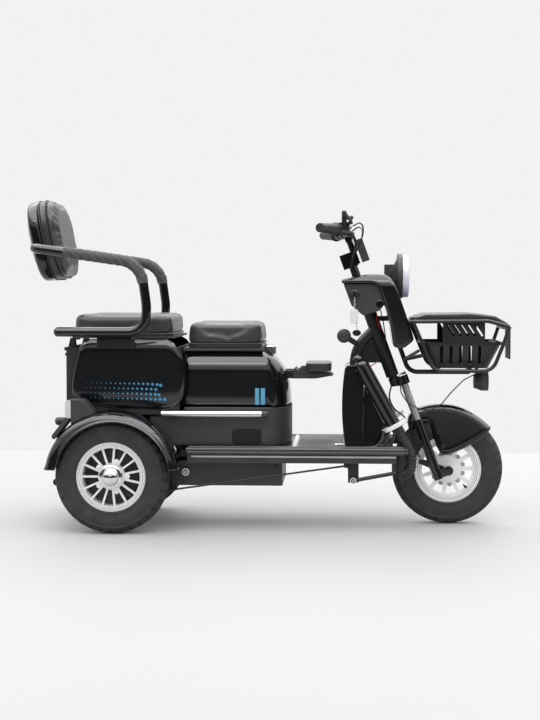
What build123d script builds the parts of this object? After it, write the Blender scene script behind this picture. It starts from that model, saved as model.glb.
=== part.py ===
"""Electric tricycle scooter with two seats, armrests, a leg shield and a front basket.

+X is forward, +Y is left and +Z is up, in millimetres. The ground is at Z = 0 and the
origin lies on it, under the middle of the overall box. One STEP file is written per node.
"""

import os
from math import cos, pi, radians, sin, tan

from build123d import *

os.makedirs("parts", exist_ok=True)

# ---------------------------------------------------------------- driving dimensions
CENTRE_SHIFT = 2.16  # moves the drawing's station zero to the middle of the length

WHEEL_R = 178.0  # 3.00-8 tyre
TYRE_W = 80.0
BEAD_R = 100.0
LIP_R = 107.0
LIP_IN_R = 90.0
LIP_Y = 28.0
LIP_T = 6.0
AXLE_R = 10.0
RUNNING_GAP = 0.05

REAR_AXLE_X = -476.0
REAR_WHEEL_Y = 255.0
FRONT_AXLE_X = 574.0

RAKE = 20.0  # steering axis, degrees from vertical
STEER_X, STEER_Z = 396.0, 480.0  # a point of the steering axis
STEER = Plane(
    origin=(STEER_X, 0, STEER_Z),
    x_dir=(cos(radians(RAKE)), 0, sin(radians(RAKE))),
    z_dir=(-sin(radians(RAKE)), 0, cos(radians(RAKE))),
)
LEG_AHEAD = 26.0  # fork legs ahead of the steering axis
LEG_Y = 74.0
STANCHION_R = 10.8
SLIDER_R = 14.5
SLIDER_LOW, SLIDER_HIGH = -360.0, -157.0  # along the steering axis
CROWN_LOW, CROWN_HIGH = -36.0, -8.0
CROWN_BOSS_R, CROWN_END_R = 17.0, 19.0
HEAD_LOW, HEAD_HIGH = -4.0, 214.0
HEAD_R = 21.0
STEM_R = 14.0
STEM_JOIN, STEM_HIGH = 404.0, 462.0
BAR_R = 11.0
MIRROR_X, MIRROR_Y, MIRROR_Z = 240.0, 186.0, 992.0  # mouth of the left mirror's M8 hole
MIRROR_HOLE_R = 3.4
MIRROR_BOSS_R = 8.0

FLOOR_TOP = 263.0
FLOOR_T = 23.0
FLOOR_BOTTOM = 214.0
FLOOR_Y = 210.0

BODY_Y = 170.0  # half width of the middle body
PANEL_Y = 205.0  # half width over the rear side panels
BOX_Y = 184.0  # half width of the rear box
WALL = 5.0

ARM_Y = 242.0
ARM_R = 15.0
WRAP_R = 17.6

BACK_LEAN = 11.2
BACK_X, BACK_Z = -701.0, 904.0
BACK_W, BACK_H = 318.0, 244.0

LAMP_R, LAMP_Z = 72.0, 798.0
PANEL_HALF = 110.0  # half width of the inner panel

FRONT_HINGE = (10.0, 568.0)
REAR_HINGE = (-622.0, 596.0)
CHILD_HINGE = (108.0, 497.0)
LID_HINGE = (456.0, 664.0)
PIN_R = 3.0

SHIELD_Y = 130.0
GUARD_Y = 155.0
GUARD_R = 22.0

BASKET_Y = 146.0
LID_Y = 145.0
HOOP_Y = 156.0
HOOP_R = 6.0
CARRIER_R = 7.5
CARRIER_TOP = (384, 0, 669)  # upper end of the carrier tube, inside the cowl


# ---------------------------------------------------------------- small helpers
def save(name, *pieces):
    """Write one node, moved so that the origin is under the middle of the box."""
    shape = pieces[0] if len(pieces) == 1 else Compound(children=list(pieces))
    export_step(Pos(CENTRE_SHIFT, 0, 0) * shape, f"parts/{name}.step")


def side(points, y_low, y_high):
    """Side outline given as (x, z) points, drawn out from y_low to y_high."""
    outline = Plane.XZ.offset(-y_high) * Polygon(*points, align=None)
    return extrude(outline, y_high - y_low, dir=(0, -1, 0))


def soft_side(points, radii, y_low, y_high):
    """As side(), with each corner of the outline rounded by its own radius."""
    face = Polygon(*points, align=None)
    for point, radius in zip(points, radii):
        if radius:
            face = fillet(face.vertices().sort_by_distance((*point, 0))[0], radius)
    return extrude(Plane.XZ.offset(-y_high) * face, y_high - y_low, dir=(0, -1, 0))


def block(x, y, z):
    """Box from the low and high ends along each axis."""
    size = [high - low for low, high in (x, y, z)]
    middle = [(high + low) / 2 for low, high in (x, y, z)]
    return Pos(*middle) * Box(*size)


def rod(radius, start, end):
    """Round bar between two points."""
    axis = Vector(*end) - Vector(*start)
    section = Plane(origin=start, z_dir=axis) * Circle(radius)
    return extrude(section, axis.length)


def tube(points, radius, bends):
    """Round tube along straight runs joined by tangent arcs."""
    route = FilletPolyline(*points, radius=bends)
    section = Plane(origin=route @ 0, z_dir=route % 0) * Circle(radius)
    return sweep(section, path=route)


def cable(points, radius):
    """Cord held along a route, each bend as wide as the runs beside it allow."""
    route = [Vector(*point) for point in points]
    bends = []
    for before, corner, after in zip(route, route[1:], route[2:]):
        run_in, run_out = corner - before, after - corner
        half_turn = radians(run_in.get_angle(run_out)) / 2
        bends.append(0.45 * min(run_in.length, run_out.length) / tan(half_turn))
    solid = tube(points, radius, bends)
    length = solid.volume / (pi * radius ** 2)
    print(f"cable: length {length:.0f} mm, bends from {min(bends):.0f} mm radius")
    return solid


def mirrored(shape):
    return mirror(shape, Plane.XZ)


def turned(profile):
    """Body of revolution about Y from a closed (radius, y) outline."""
    return revolve(Plane.XY * Polygon(*profile, align=None), Axis.Y)


def disc(radius, y_low, y_high):
    return Pos(0, y_low, 0) * Rot(-90, 0, 0) * Cylinder(
        radius, y_high - y_low, align=(Align.CENTER, Align.CENTER, Align.MIN)
    )


# ---------------------------------------------------------------- wheels
def tyre():
    """Tyre with a round crown, about the Y axis."""
    half = TYRE_W / 2
    shoulder = (WHEEL_R - 14, half - 5)
    outline = [
        Line((BEAD_R, -LIP_Y), (LIP_R + 0.5, -LIP_Y)),
        ThreePointArc((LIP_R + 0.5, -LIP_Y), (WHEEL_R - 40, -half), (shoulder[0], -shoulder[1])),
        ThreePointArc((shoulder[0], -shoulder[1]), (WHEEL_R, 0), shoulder),
        ThreePointArc(shoulder, (WHEEL_R - 40, half), (LIP_R + 0.5, LIP_Y)),
        Line((LIP_R + 0.5, LIP_Y), (BEAD_R, LIP_Y)),
        Line((BEAD_R, LIP_Y), (BEAD_R, -LIP_Y)),
    ]
    return revolve(make_face(outline), Axis.Y)


def barrel():
    """Rim barrel with a lip at each side."""
    return turned([
        (LIP_IN_R, -LIP_Y - LIP_T), (LIP_R, -LIP_Y - LIP_T), (LIP_R, -LIP_Y), (BEAD_R, -LIP_Y),
        (BEAD_R, LIP_Y), (LIP_R, LIP_Y), (LIP_R, LIP_Y + LIP_T), (LIP_IN_R, LIP_Y + LIP_T),
    ])


def rear_rim():
    """Cast rim, its outer face towards +Y: 15 thin spokes, a hub and a domed cap."""
    spokes, spoke_w = 15, 6.0
    face_low, face_high = 12.0, 23.0
    hub_r, cap_r, hub_back = 41.0, 25.0, -20.0
    rim = barrel() + disc(hub_r, hub_back, face_high)
    spoke = block((hub_r - 3, LIP_IN_R + 2), (face_low, face_high), (-spoke_w / 2, spoke_w / 2))
    for number in range(spokes):
        rim += Rot(0, number * 360 / spokes, 0) * spoke
    rim += turned([(0, face_high - 1), (34, face_high - 1), (34, face_high + 4),
                   (cap_r, face_high + 4), (cap_r - 4, face_high + 11), (12, face_high + 15),
                   (0, face_high + 16)])
    return rim - disc(AXLE_R + RUNNING_GAP, hub_back, face_low)


def front_rim():
    """Cast rim with 11 tapered windows round a plain hub, bored through."""
    windows = 11
    face_low, face_high = 8.0, 20.0
    hub_r, hub_half = 45.0, 26.0
    rim = barrel() + disc(hub_r, -hub_half, hub_half) + disc(LIP_IN_R + 2, face_low, face_high)
    window = side([(53, -8.5), (80, -18), (82, 0), (80, 18), (53, 8.5)], face_low - 1, face_high + 1)
    recess = rod(7.5, (51, face_high - 3, 0), (51, face_high + 1, 0))
    for number in range(windows):
        rim -= Rot(0, number * 360 / windows, 0) * (window + recess)
    return rim - disc(AXLE_R + RUNNING_GAP, -hub_half, hub_half)


def wheels():
    rear = Pos(REAR_AXLE_X, REAR_WHEEL_Y, WHEEL_R)
    right = Pos(REAR_AXLE_X, -REAR_WHEEL_Y, WHEEL_R) * Rot(0, 0, 180)
    save("rear_tyre_left", rear * tyre())
    save("rear_rim_left", rear * rear_rim())
    save("rear_tyre_right", right * tyre())
    save("rear_rim_right", right * rear_rim())
    front = Pos(FRONT_AXLE_X, 0, WHEEL_R) * Rot(0, 0, 180)
    save("front_tyre", front * tyre())
    save("front_rim", front * front_rim())


# ---------------------------------------------------------------- chassis
def chassis_frame():
    """Head tube, down tube, floor rails, seat frame and rear bumper as one welded frame."""
    rail_y, rail_r = 110.0, 12.0
    rail_z = FLOOR_BOTTOM + rail_r
    seat_z = 347.0
    bumper = (-662.0, 150.0)
    bore = STEM_R + RUNNING_GAP
    head = STEER * Pos(0, 0, HEAD_LOW) * Cylinder(
        HEAD_R, HEAD_HIGH - HEAD_LOW, align=(Align.CENTER, Align.CENTER, Align.MIN)
    )
    down = tube([(345, 0, 634), (279, 0, 570), (268, 0, 450), (271, 0, rail_z - 6)], 16, [110, 300])
    frame = head + down
    frame += side([(275, 519), (278, 550), (328, 612), (352, 560), (364, 519), (316, 519)], -4, 4)
    frame += rod(11, (271, -rail_y, rail_z), (271, rail_y, rail_z))
    for y in (-rail_y, rail_y):
        frame += tube([(330, y, rail_z), (-312, y, rail_z), (-345, y, seat_z), (-640, y, seat_z)],
                      rail_r, [50, 50])
        frame += tube([(-632, y, seat_z), (bumper[0], y, seat_z - 20), (bumper[0], y, bumper[1])],
                      10, [12])
    for x in (-200, 20):
        frame += rod(10, (x, -rail_y, rail_z), (x, rail_y, rail_z))
    for x in (-375, -600):
        frame += rod(10, (x, -rail_y, seat_z), (x, rail_y, seat_z))
    frame += rod(11, (bumper[0], -205, bumper[1]), (bumper[0], 205, bumper[1]))
    return frame - STEER * Pos(0, 0, HEAD_LOW - 5) * Cylinder(
        bore, HEAD_HIGH - HEAD_LOW + 10, align=(Align.CENTER, Align.CENTER, Align.MIN)
    )


def rear_axle():
    """Axle tube, differential housing, brake plates, wheel stubs and two trailing arms."""
    axle = disc(25, -190, 190) + disc(62, -55, 55)
    for sign in (-1, 1):
        plate = disc(32, 188, 222) + disc(80, 222, 228) + disc(AXLE_R, 228, REAR_WHEEL_Y + 10)
        axle += plate if sign > 0 else mirrored(plate)
    axle = Pos(REAR_AXLE_X, 0, WHEEL_R) * axle
    for y in (-168, 168):
        axle += side([(-476, 150), (-258, 168), (-246, 181), (-258, 194), (-476, 206)], y - 5, y + 5)
    return axle


def rear_shock():
    """Spring and damper unit standing between the axle and the seat frame."""
    foot, top = Vector(-515, 150, 208), Vector(-545, 150, 356)
    unit = rod(8, foot, top)
    return unit + rod(22, foot + (top - foot) * 0.2, foot + (top - foot) * 0.88)


def battery_box():
    box = block((-302, 47), (-150, 150), (136, FLOOR_BOTTOM - 0.2))
    return fillet(box.edges().filter_by(Axis.Z), 12)


def brake_linkage():
    """Pedal, its crank on the right side of the floor and the rod to the rear brakes."""
    y = -188.0
    crank = rod(9, (270, y - 6, 159), (270, y + 10, 159))
    crank += side([(240, 213.9), (287, 213.9), (287, 152), (254, 151), (253, 198), (242, 198)], y + 8, y + 12)
    crank += rod(6, (270, y, 159), (403, y, 184))
    crank += rod(3, (246, y, 205), (-316, y, 124)) + rod(5, (246, y - 5, 205), (246, y + 10, 205))
    crank += rod(5, (400, y, 183.5), (400, y, 213.9))
    return crank


def undercarriage():
    save("chassis_frame", chassis_frame())
    save("rear_axle", rear_axle())
    save("drive_motor", Pos(-586, 0, WHEEL_R) * disc(46, -85, 85))
    save("rear_shocks", rear_shock(), mirrored(rear_shock()))
    save("battery_box", battery_box())
    save("brake_linkage", brake_linkage())


# ---------------------------------------------------------------- floor and bodies
def floorboard():
    """Floor deck with a notch for the front wheel and a set-in edge below, hollow for the rails."""
    deck = block((-256, 442), (-FLOOR_Y, FLOOR_Y), (FLOOR_TOP - FLOOR_T, FLOOR_TOP))
    edge = block((-250, 404), (-FLOOR_Y + 4, FLOOR_Y - 4), (FLOOR_BOTTOM, FLOOR_TOP - FLOOR_T))
    notch = block((362, 450), (-132, 132), (FLOOR_BOTTOM - 1, FLOOR_TOP + 1))
    hollow = block((-251, 345), (-150, 150), (FLOOR_BOTTOM - 1, FLOOR_TOP - FLOOR_T))
    return deck + edge - notch - hollow - block((245, 300), (-30, 30), (200, 270))


def lower_body():
    outer = side([(-370, 263.5), (72, 263.5), (72, 386), (-262, 386), (-268, 358), (-370, 358)],
                 -BODY_Y, BODY_Y)
    outer -= block((-262 + WALL, 72 - WALL), (-BODY_Y + WALL, BODY_Y - WALL), (275, 390))
    return outer - block((-375, -262), (-BODY_Y + WALL, BODY_Y - WALL), (260, 360))


def front_body():
    """Open-topped body shell under the front seat, its front curved."""
    def profile(inset, low, high):
        foot, top = 69 - inset, -8 - inset
        return make_face([
            Line((-268 + inset, low), (foot, low)),
            ThreePointArc((foot, low), (foot - 19, 490), (top, high)),
            Line((top, high), (-268 + inset, high)),
            Line((-268 + inset, high), (-268 + inset, low)),
        ])

    def drawn(face, half):
        return extrude(Plane.XZ.offset(-half) * face, 2 * half, dir=(0, -1, 0))

    shell = drawn(profile(0, 386.5, 561), BODY_Y)
    shell = fillet(shell.edges().filter_by(Axis.Z), 12)
    shell -= drawn(profile(WALL, 380, 570), BODY_Y - WALL)
    shell += block((-30, -8), (-60, 60), (540, 561)) & drawn(profile(0, 386.5, 561), BODY_Y)
    ear = side([(-12, 548), (20, 528), (18, 570), (14, 576), (6, 576), (2, 566)], 22, 30)
    shell += ear + mirrored(ear) + rod(PIN_R, (FRONT_HINGE[0], -30, FRONT_HINGE[1]),
                                       (FRONT_HINGE[0], 30, FRONT_HINGE[1]))
    return shell


def rear_box():
    """Open storage tub under the rear seat, with a rim and the seat hinge ears."""
    tub = block((-632, -276), (-BOX_Y, BOX_Y), (363, 574))
    tub += block((-638, -276), (-BOX_Y, BOX_Y), (564, 574))
    tub += block((-636, -276), (-BOX_Y, BOX_Y), (548, 556))
    tub -= block((-632 + WALL, -276 - WALL), (-BOX_Y + WALL, BOX_Y - WALL), (363 + WALL, 580))
    for y in (-120, 120):
        tub += side([(-636, 570), (-612, 570), (-616, 602), (-628, 602)], y + 9, y + 15)
        tub += side([(-636, 570), (-612, 570), (-616, 602), (-628, 602)], y - 15, y - 9)
        tub += rod(PIN_R, (REAR_HINGE[0], y - 15, REAR_HINGE[1]), (REAR_HINGE[0], y + 15, REAR_HINGE[1]))
    return tub


def rear_panel():
    """Left glossy cover of the rear box."""
    outline = [(-566, 601), (-299, 599), (-275, 565), (-259, 546), (-251, 454), (-265, 401),
               (-300, 378), (-523, 383), (-617, 417), (-620, 460), (-588, 583)]
    panel = side(outline, BOX_Y + 1, PANEL_Y)
    return fillet(panel.faces().sort_by(Axis.Y)[-1].edges(), 8)


def side_tube():
    """Tube along the body's left side, on two pegs."""
    bar = rod(10, (-330, 196, 366.5), (2, 196, 366.5))
    for x in (-215, -40):
        bar += rod(5, (x, BODY_Y + 0.1, 366.5), (x, 196, 366.5))
    return bar


def bodies():
    save("floorboard", floorboard())
    save("lower_body", lower_body())
    save("front_body", front_body())
    save("rear_box", rear_box())
    save("rear_side_panels", rear_panel(), mirrored(rear_panel()))
    save("side_tubes", side_tube(), mirrored(side_tube()))


# ---------------------------------------------------------------- fenders and lights
def arch(inset, y_low, y_high):
    """Solid oval about the rear axle, drawn out sideways: the fender's outer form less an inset."""
    face = Plane.XZ.offset(-y_high) * Ellipse(208 - inset, 202 - inset)
    return extrude(face, y_high - y_low, dir=(0, -1, 0))


def rear_fender():
    """Left fender: an arched strip over the tyre with a skirt on its outer side."""
    sheet, low_y, high_y = 4.0, 190.0, 318.0
    strip = arch(0, low_y, high_y) - arch(sheet, low_y, high_y)
    skirt = arch(0, high_y - sheet, high_y) - Pos(10, 0, 0) * disc(172, high_y - sheet - 1, high_y + 1)
    keep = block((-300, 300), (0, 400), (22, 300))
    return Pos(REAR_AXLE_X, 0, WHEEL_R) * ((strip + skirt) & keep)


def tail_light():
    """Left tail light, a wedge standing on the fender."""
    wedge = side([(-615, 363), (-560, 340), (-527, 360), (-527, 383), (-560, 416), (-600, 418),
                  (-615, 415)], 232, 296)
    return wedge - Pos(REAR_AXLE_X, 0, WHEEL_R) * arch(0, 230, 300)


def rear_trim():
    save("rear_fenders", rear_fender(), mirrored(rear_fender()))
    save("tail_lights", tail_light(), mirrored(tail_light()))


# ---------------------------------------------------------------- leg shield and cowl
def leg_shield():
    """Upright shield round the down tube, bowed towards the rider, with a rib up each side."""
    low, high = (244, 263.5), (243, 506)
    outline = [
        ThreePointArc(low, (234, 385), high), Line(high, (250, 517)), Line((250, 517), (296, 517)),
        Line((296, 517), (304, 500)), Line((304, 500), (304, 263.5)), Line((304, 263.5), low),
    ]
    upright = extrude(Plane.XZ.offset(-SHIELD_Y) * make_face(outline), 2 * SHIELD_Y, dir=(0, -1, 0))
    upright = fillet(upright.edges().filter_by(Axis.Z).group_by(Axis.X)[-1], 10)
    rib = block((276, 282), (SHIELD_Y, SHIELD_Y + 2), (264, 500))
    upright += rib + mirrored(rib)
    return upright - block((246, 296), (-20, 20), (250, 530))


def shield_web():
    """Left web that fills the corner between the shield and the guard bar."""
    return side([(304.5, 263.5), (361, 263.5), (370, 327), (312, 432), (304.5, 440)], 60, 110)


def guard_bar():
    """Left guard tube in front of the shield: domed top, stay to the web."""
    bar = rod(GUARD_R, (287, GUARD_Y, 532), (397, GUARD_Y, 331))
    bar = fillet(bar.edges().filter_by(GeomType.CIRCLE).sort_by(Axis.Z)[-1], GUARD_R - 4)
    return bar + block((318, 350), (110, GUARD_Y - 8), (400, 412))


def guard_foot():
    """Ribbed foot of the left guard, from its flange down and back under the floor."""
    y, start = GUARD_Y, Vector(397, GUARD_Y, 331)
    along = (start - Vector(294, y, 519)).normalized()
    plane = Plane(origin=start, z_dir=along, x_dir=(0, 1, 0))
    flange = extrude(plane * Ellipse(30, 43), 11)
    foot = tube([tuple(start + along * 5), (450, y, 238), (450, y, 188), (412, y, 168)], 15, [55, 28])
    return flange + foot


def cowl():
    """Front cowl: a top cover and a wrap-round front, open behind."""
    half = 130.0
    outline = [(232, 788), (342, 807), (388, 792), (414, 738), (458, 612), (462, 594), (430, 568),
               (397, 572), (386, 640), (368, 709), (345, 774), (232, 774)]
    rounds = [6, 70, 40, 60, 25, 8, 10, 12, 0, 60, 30, 6]
    inner = [(340, 779), (366, 780), (379, 779), (408, 735), (451, 611), (455, 597), (428, 575),
             (390, 560), (380, 640), (362, 709), (338, 770)]
    front_view = [(-116, 812), (116, 812), (half, 768), (98, 565), (-98, 565), (-half, 768)]
    inner_view = [(y * 0.955, z) for y, z in front_view]

    def seen_from_front(points, rounds):
        face = Polygon(*points, align=None)
        for point, radius in zip(points, rounds):
            if radius:
                face = fillet(face.vertices().sort_by_distance((*point, 0))[0], radius)
        return extrude(Plane.YZ.offset(200) * face, 300, dir=(1, 0, 0))

    shell = soft_side(outline, rounds, -half, half) & seen_from_front(front_view, [24, 24, 50, 0, 0, 50])
    cavity = side(inner, -half, half) & seen_from_front(inner_view, [20, 20, 46, 0, 0, 46])
    mouth = rod(CARRIER_R + 1, (426, 0, 554), (417, 0, 579))
    return shell - cavity - mouth - STEER * Pos(0, 0, 340) * Cylinder(34, 120)


def cowl_panel():
    """Inner panel behind the cowl, facing the rider, open above and below."""
    half = PANEL_HALF
    outer = side([(238, 773), (322, 773), (350, 766), (361, 752), (371, 712), (352, 688), (300, 673), (263, 705)],
                 -half, half)
    inner = side([(246, 780), (362, 780), (380, 709), (352, 660), (303, 660), (270, 708)],
                 -half + WALL, half - WALL)
    return outer - inner


def bag_hook():
    """Stubby peg for a bag, on a stalk that is clamped to the gusset's tube."""
    stalk = rod(9, (244, -26, 604), (275, -4.7, 583.7))
    return rod(18, (240, -60, 607), (240, -20, 607)) + stalk


def ignition_lock():
    """Key switch on the inner panel's right side, with the key in it."""
    y = -PANEL_HALF
    lock = rod(14, (273, y - 0.1, 741), (273, y - 8, 741)) + rod(9, (273, y - 8, 741), (273, y - 12, 741))
    return lock + block((271.5, 274.5), (y - 32, y - 11), (733, 749))


def headlight_housing():
    """Round housing on a bracket from the cowl's front."""
    ring = Pos(410, 0, LAMP_Z) * Rot(0, 90, 0) * Cylinder(
        LAMP_R, 17, align=(Align.CENTER, Align.CENTER, Align.MIN))
    back = Plane(origin=(392, 0, LAMP_Z - 18), z_dir=(1, 0, 0)) * Circle(38)
    front = Plane(origin=(410.5, 0, LAMP_Z - 4), z_dir=(1, 0, 0)) * Circle(64)
    mass = ring + loft([back, front]) + block((369, 412), (-24, 24), (795, 836))
    return mass - side([(300, 700), (300, 800.5), (342, 807.5), (388.5, 793), (415, 738), (430, 700)],
                       -100, 100)


def headlight_lens():
    face = Pos(427.2, 0, LAMP_Z) * Rot(0, 90, 0)
    lens = face * Cylinder(LAMP_R - 3, 20, align=(Align.CENTER, Align.CENTER, Align.MIN))
    return fillet(lens.edges().sort_by(Axis.X)[-1], 6)


def shields():
    save("leg_shield", leg_shield())
    save("shield_webs", shield_web(), mirrored(shield_web()))
    save("guard_bars", guard_bar(), mirrored(guard_bar()))
    save("guard_feet", guard_foot(), mirrored(guard_foot()))
    save("cowl", cowl())
    save("cowl_panel", cowl_panel())
    save("bag_hook", bag_hook())
    save("ignition_lock", ignition_lock())
    save("headlight_housing", headlight_housing())
    save("headlight_lens", headlight_lens())


# ---------------------------------------------------------------- basket
def basket_carrier():
    """Middle tube from the head of the frame under the basket, a hoop each side and top rails."""
    carrier = tube([CARRIER_TOP, (449.5, 0, 489.5), (645, 0, 489.5)], CARRIER_R, [40])
    carrier += (block((330, 388), (-12, 12), (654, 670))
                - STEER * Pos(0, 0, 200) * Cylinder(HEAD_R + RUNNING_GAP, 80))
    hoop = tube([(455, HOOP_Y, 655), (484, HOOP_Y, 589), (520, HOOP_Y, 501), (703, HOOP_Y, 501),
                 (738, HOOP_Y, 589), (755, HOOP_Y, 640)], HOOP_R, [400, 40, 45, 400])
    rail = tube([(455, HOOP_Y, 655), (690, HOOP_Y, 657), (755, HOOP_Y, 640)], HOOP_R, [60])
    left = hoop + rail + rod(HOOP_R, (434, 0, 529), (487, HOOP_Y, 550))
    carrier += left + mirrored(left)
    for x, z in ((455, 653), (753, 633), (540, 501), (640, 501)):
        carrier += rod(HOOP_R - 0.2, (x, -HOOP_Y, z), (x, HOOP_Y, z))
    return carrier


def basket():
    """Tapered open bucket with slots in its sides, and a slotted panel above each side."""
    low_z, rim_z = 508.0, 588.0

    def prism(grow, z_low, z_high):
        bottom = Pos(610, 0, z_low) * RectangleRounded(166 + grow, 244 + grow, 20)
        top = Pos(610, 0, z_high) * RectangleRounded(244 + grow, 2 * BASKET_Y + grow, 20)
        return loft([bottom, top])

    bucket = prism(0, low_z, rim_z) - prism(-2 * WALL, low_z + WALL, rim_z + WALL)
    rim = Pos(610, 0, rim_z - 6) * extrude(
        RectangleRounded(250, 2 * BASKET_Y + 4, 22) - RectangleRounded(234, 2 * BASKET_Y - 10, 18), 9)
    bucket += rim
    for number in range(5):
        x = 541 + number * 29.7
        bucket -= block((x, x + 10), (-200, 200), (520, 579))
    panel = side([(549, 588), (549, 651), (555, 657), (675, 657), (680, 651), (680, 588)],
                 BASKET_Y - 2, BASKET_Y + 2)
    slot = Rot(0, -34, 0) * Box(6, 20, 40)
    for number in range(5):
        panel -= Pos(573 + number * 22, BASKET_Y, 627) * slot
    return bucket + panel + mirrored(panel)


def horn():
    """Round horn facing forward, hung from the carrier's front."""
    turn = Pos(0, 0, 460) * Rot(0, 90, 0)
    disc_front = turn * Pos(0, 0, 680) * Cylinder(31, 24, align=(Align.CENTER, Align.CENTER, Align.MIN))
    back = turn * Pos(0, 0, 658) * Cone(22, 30, 22.5, align=(Align.CENTER, Align.CENTER, Align.MIN))
    return disc_front + back + block((662, 672), (-9, 9), (480, 506))


def horn_wire():
    """Wire that hangs from the fork crown's right end and rises to the back of the horn."""
    route = [(418, -95, 462), (421, -103, 428), (444, -110, 394), (486, -104, 375),
             (517, -90, 374), (551, -72, 391), (583, -50, 427), (624, -28, 465), (657, -12, 481)]
    return cable(route, 1.8)


def front_plate():
    """Upright plate in front of the basket."""
    return block((765, 769), (-60, 60), (534, 628)) + block((759.5, 766), (-20, 20), (600, 640))


def luggage():
    save("basket_carrier", basket_carrier())
    save("basket", basket())
    save("horn", horn())
    save("horn_wire", horn_wire())
    save("front_plate", front_plate())


# ---------------------------------------------------------------- armrests and backrest
ARM_ROUTE = [(-722, 884), (-590, 866), (-388, 837), (-369, 700), (-375, 624), (-648, 624)]


def arm_points(points):
    return [(x, ARM_Y, z) for x, z in points]


def arm_tube():
    """Left arm: out of the backrest, forward, down and back beside the rear seat."""
    points = [(-722, BACK_W / 2 + 4, 884)] + arm_points(ARM_ROUTE)
    arm = tube(points, ARM_R, [28, 200, 78, 200, 58])
    arm += block((-530, -422), (PANEL_Y + 3, ARM_Y - 6), (606, 612))
    return arm + block((-530, -422), (PANEL_Y + 0.5, PANEL_Y + 5.5), (571, 612))


def on_line(start, end, share):
    return tuple(a + (b - a) * share for a, b in zip(start, end))


def arm_wrap():
    start = on_line(ARM_ROUTE[0], ARM_ROUTE[1], 0.72)
    end = on_line(ARM_ROUTE[2], ARM_ROUTE[3], 0.43)
    points = arm_points([start, ARM_ROUTE[1], ARM_ROUTE[2], end])
    route = FilletPolyline(*points, radius=[200, 78])
    section = Plane(origin=route @ 0, z_dir=route % 0)
    ring = section * (Circle(WRAP_R) - Circle(ARM_R + 0.1))
    return sweep(ring, path=route)


BACK = Plane(
    origin=(BACK_X, 0, BACK_Z),
    x_dir=(0, 1, 0),
    z_dir=(cos(radians(BACK_LEAN)), 0, sin(radians(BACK_LEAN))),
)


def backrest(near, far, width, height, soften):
    pad = extrude(BACK.offset(near) * RectangleRounded(width, height, 100), far - near)
    return fillet(pad.faces().sort_by(Axis.X)[-1 if far > 0 else 0].edges(), soften)


def rests():
    save("armrest_frame", arm_tube(), mirrored(arm_tube()))
    save("armrest_wraps", arm_wrap(), mirrored(arm_wrap()))
    save("backrest_shell", backrest(-56, -1, BACK_W, BACK_H, 36))
    save("backrest_cushion", backrest(1, 40, BACK_W - 6, BACK_H - 4, 18))


# ---------------------------------------------------------------- seats
def hinge_knuckle(hinge, y_low, y_high):
    x, z = hinge
    return rod(6, (x, y_low, z), (x, y_high, z))


def pin_bore(hinge, y_half):
    x, z = hinge
    return rod(PIN_R + RUNNING_GAP, (x, -y_half, z), (x, y_half, z))


def front_seat():
    base = block((-264, -14), (-158, 158), (562.5, 572))
    base += block((-20, 10), (-20, 20), (565, 571)) + hinge_knuckle(FRONT_HINGE, -20, 20)
    cushion = block((-255, -20), (-154, 154), (572.3, 654))
    save("front_seat_base", base - pin_bore(FRONT_HINGE, 21))
    save("front_seat_cushion", fillet(cushion.edges().filter_by(Axis.Z), 28))


def rear_seat():
    base = block((-612, -290), (-182, 182), (602.5, 609))
    for y in (-120, 120):
        base += block((-622, -600), (y - 8, y + 8), (596, 609))
        base += rod(6, (REAR_HINGE[0], y - 8, REAR_HINGE[1]), (REAR_HINGE[0], y + 8, REAR_HINGE[1]))
    cushion = block((-610, -296), (-184, 184), (609.3, 668))
    save("rear_seat_base", base - pin_bore(REAR_HINGE, 150))
    save("rear_seat_cushion", fillet(cushion.edges().filter_by(Axis.Z), 28))


def child_seat():
    """Fixed arm on the body's front and the small pad that folds up on it."""
    arm = side([(76, 470), (76, 497), (84, 504), (100, 490), (200, 486), (206, 480), (150, 470)],
               -60, 60)
    for y in (-50, 50):
        arm += side([(84, 488), (120, 488), (114, 505), (102, 505)], y - 12, y - 6)
        arm += side([(84, 488), (120, 488), (114, 505), (102, 505)], y + 6, y + 12)
        arm += rod(PIN_R, (CHILD_HINGE[0], y - 12, CHILD_HINGE[1]), (CHILD_HINGE[0], y + 12, CHILD_HINGE[1]))
    pad = block((118, 200), (-90, 90), (495, 521))
    pad = fillet(pad.edges().filter_by(Axis.Z), 18)
    for y in (-50, 50):
        pad += block((108, 122), (y - 5, y + 5), (494, 500))
        pad += rod(6, (CHILD_HINGE[0], y - 5, CHILD_HINGE[1]), (CHILD_HINGE[0], y + 5, CHILD_HINGE[1]))
    pad -= pin_bore(CHILD_HINGE, 80)
    save("child_seat_arm", arm)
    save("child_seat", pad)


def basket_lid():
    """Padded cover that closes the basket, hinged at its rear edge."""
    lid = side([(464, 660), (466, 670), (496, 679), (641, 681), (712, 673), (752, 650), (754, 642),
                (690, 660)], -LID_Y, LID_Y)
    save("basket_lid", lid + rod(5, (LID_HINGE[0], -60, LID_HINGE[1]), (LID_HINGE[0], 60, LID_HINGE[1]))
         + block((456, 470), (-60, 60), (660, 667)))


def seats():
    front_seat()
    rear_seat()
    child_seat()
    basket_lid()


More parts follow.
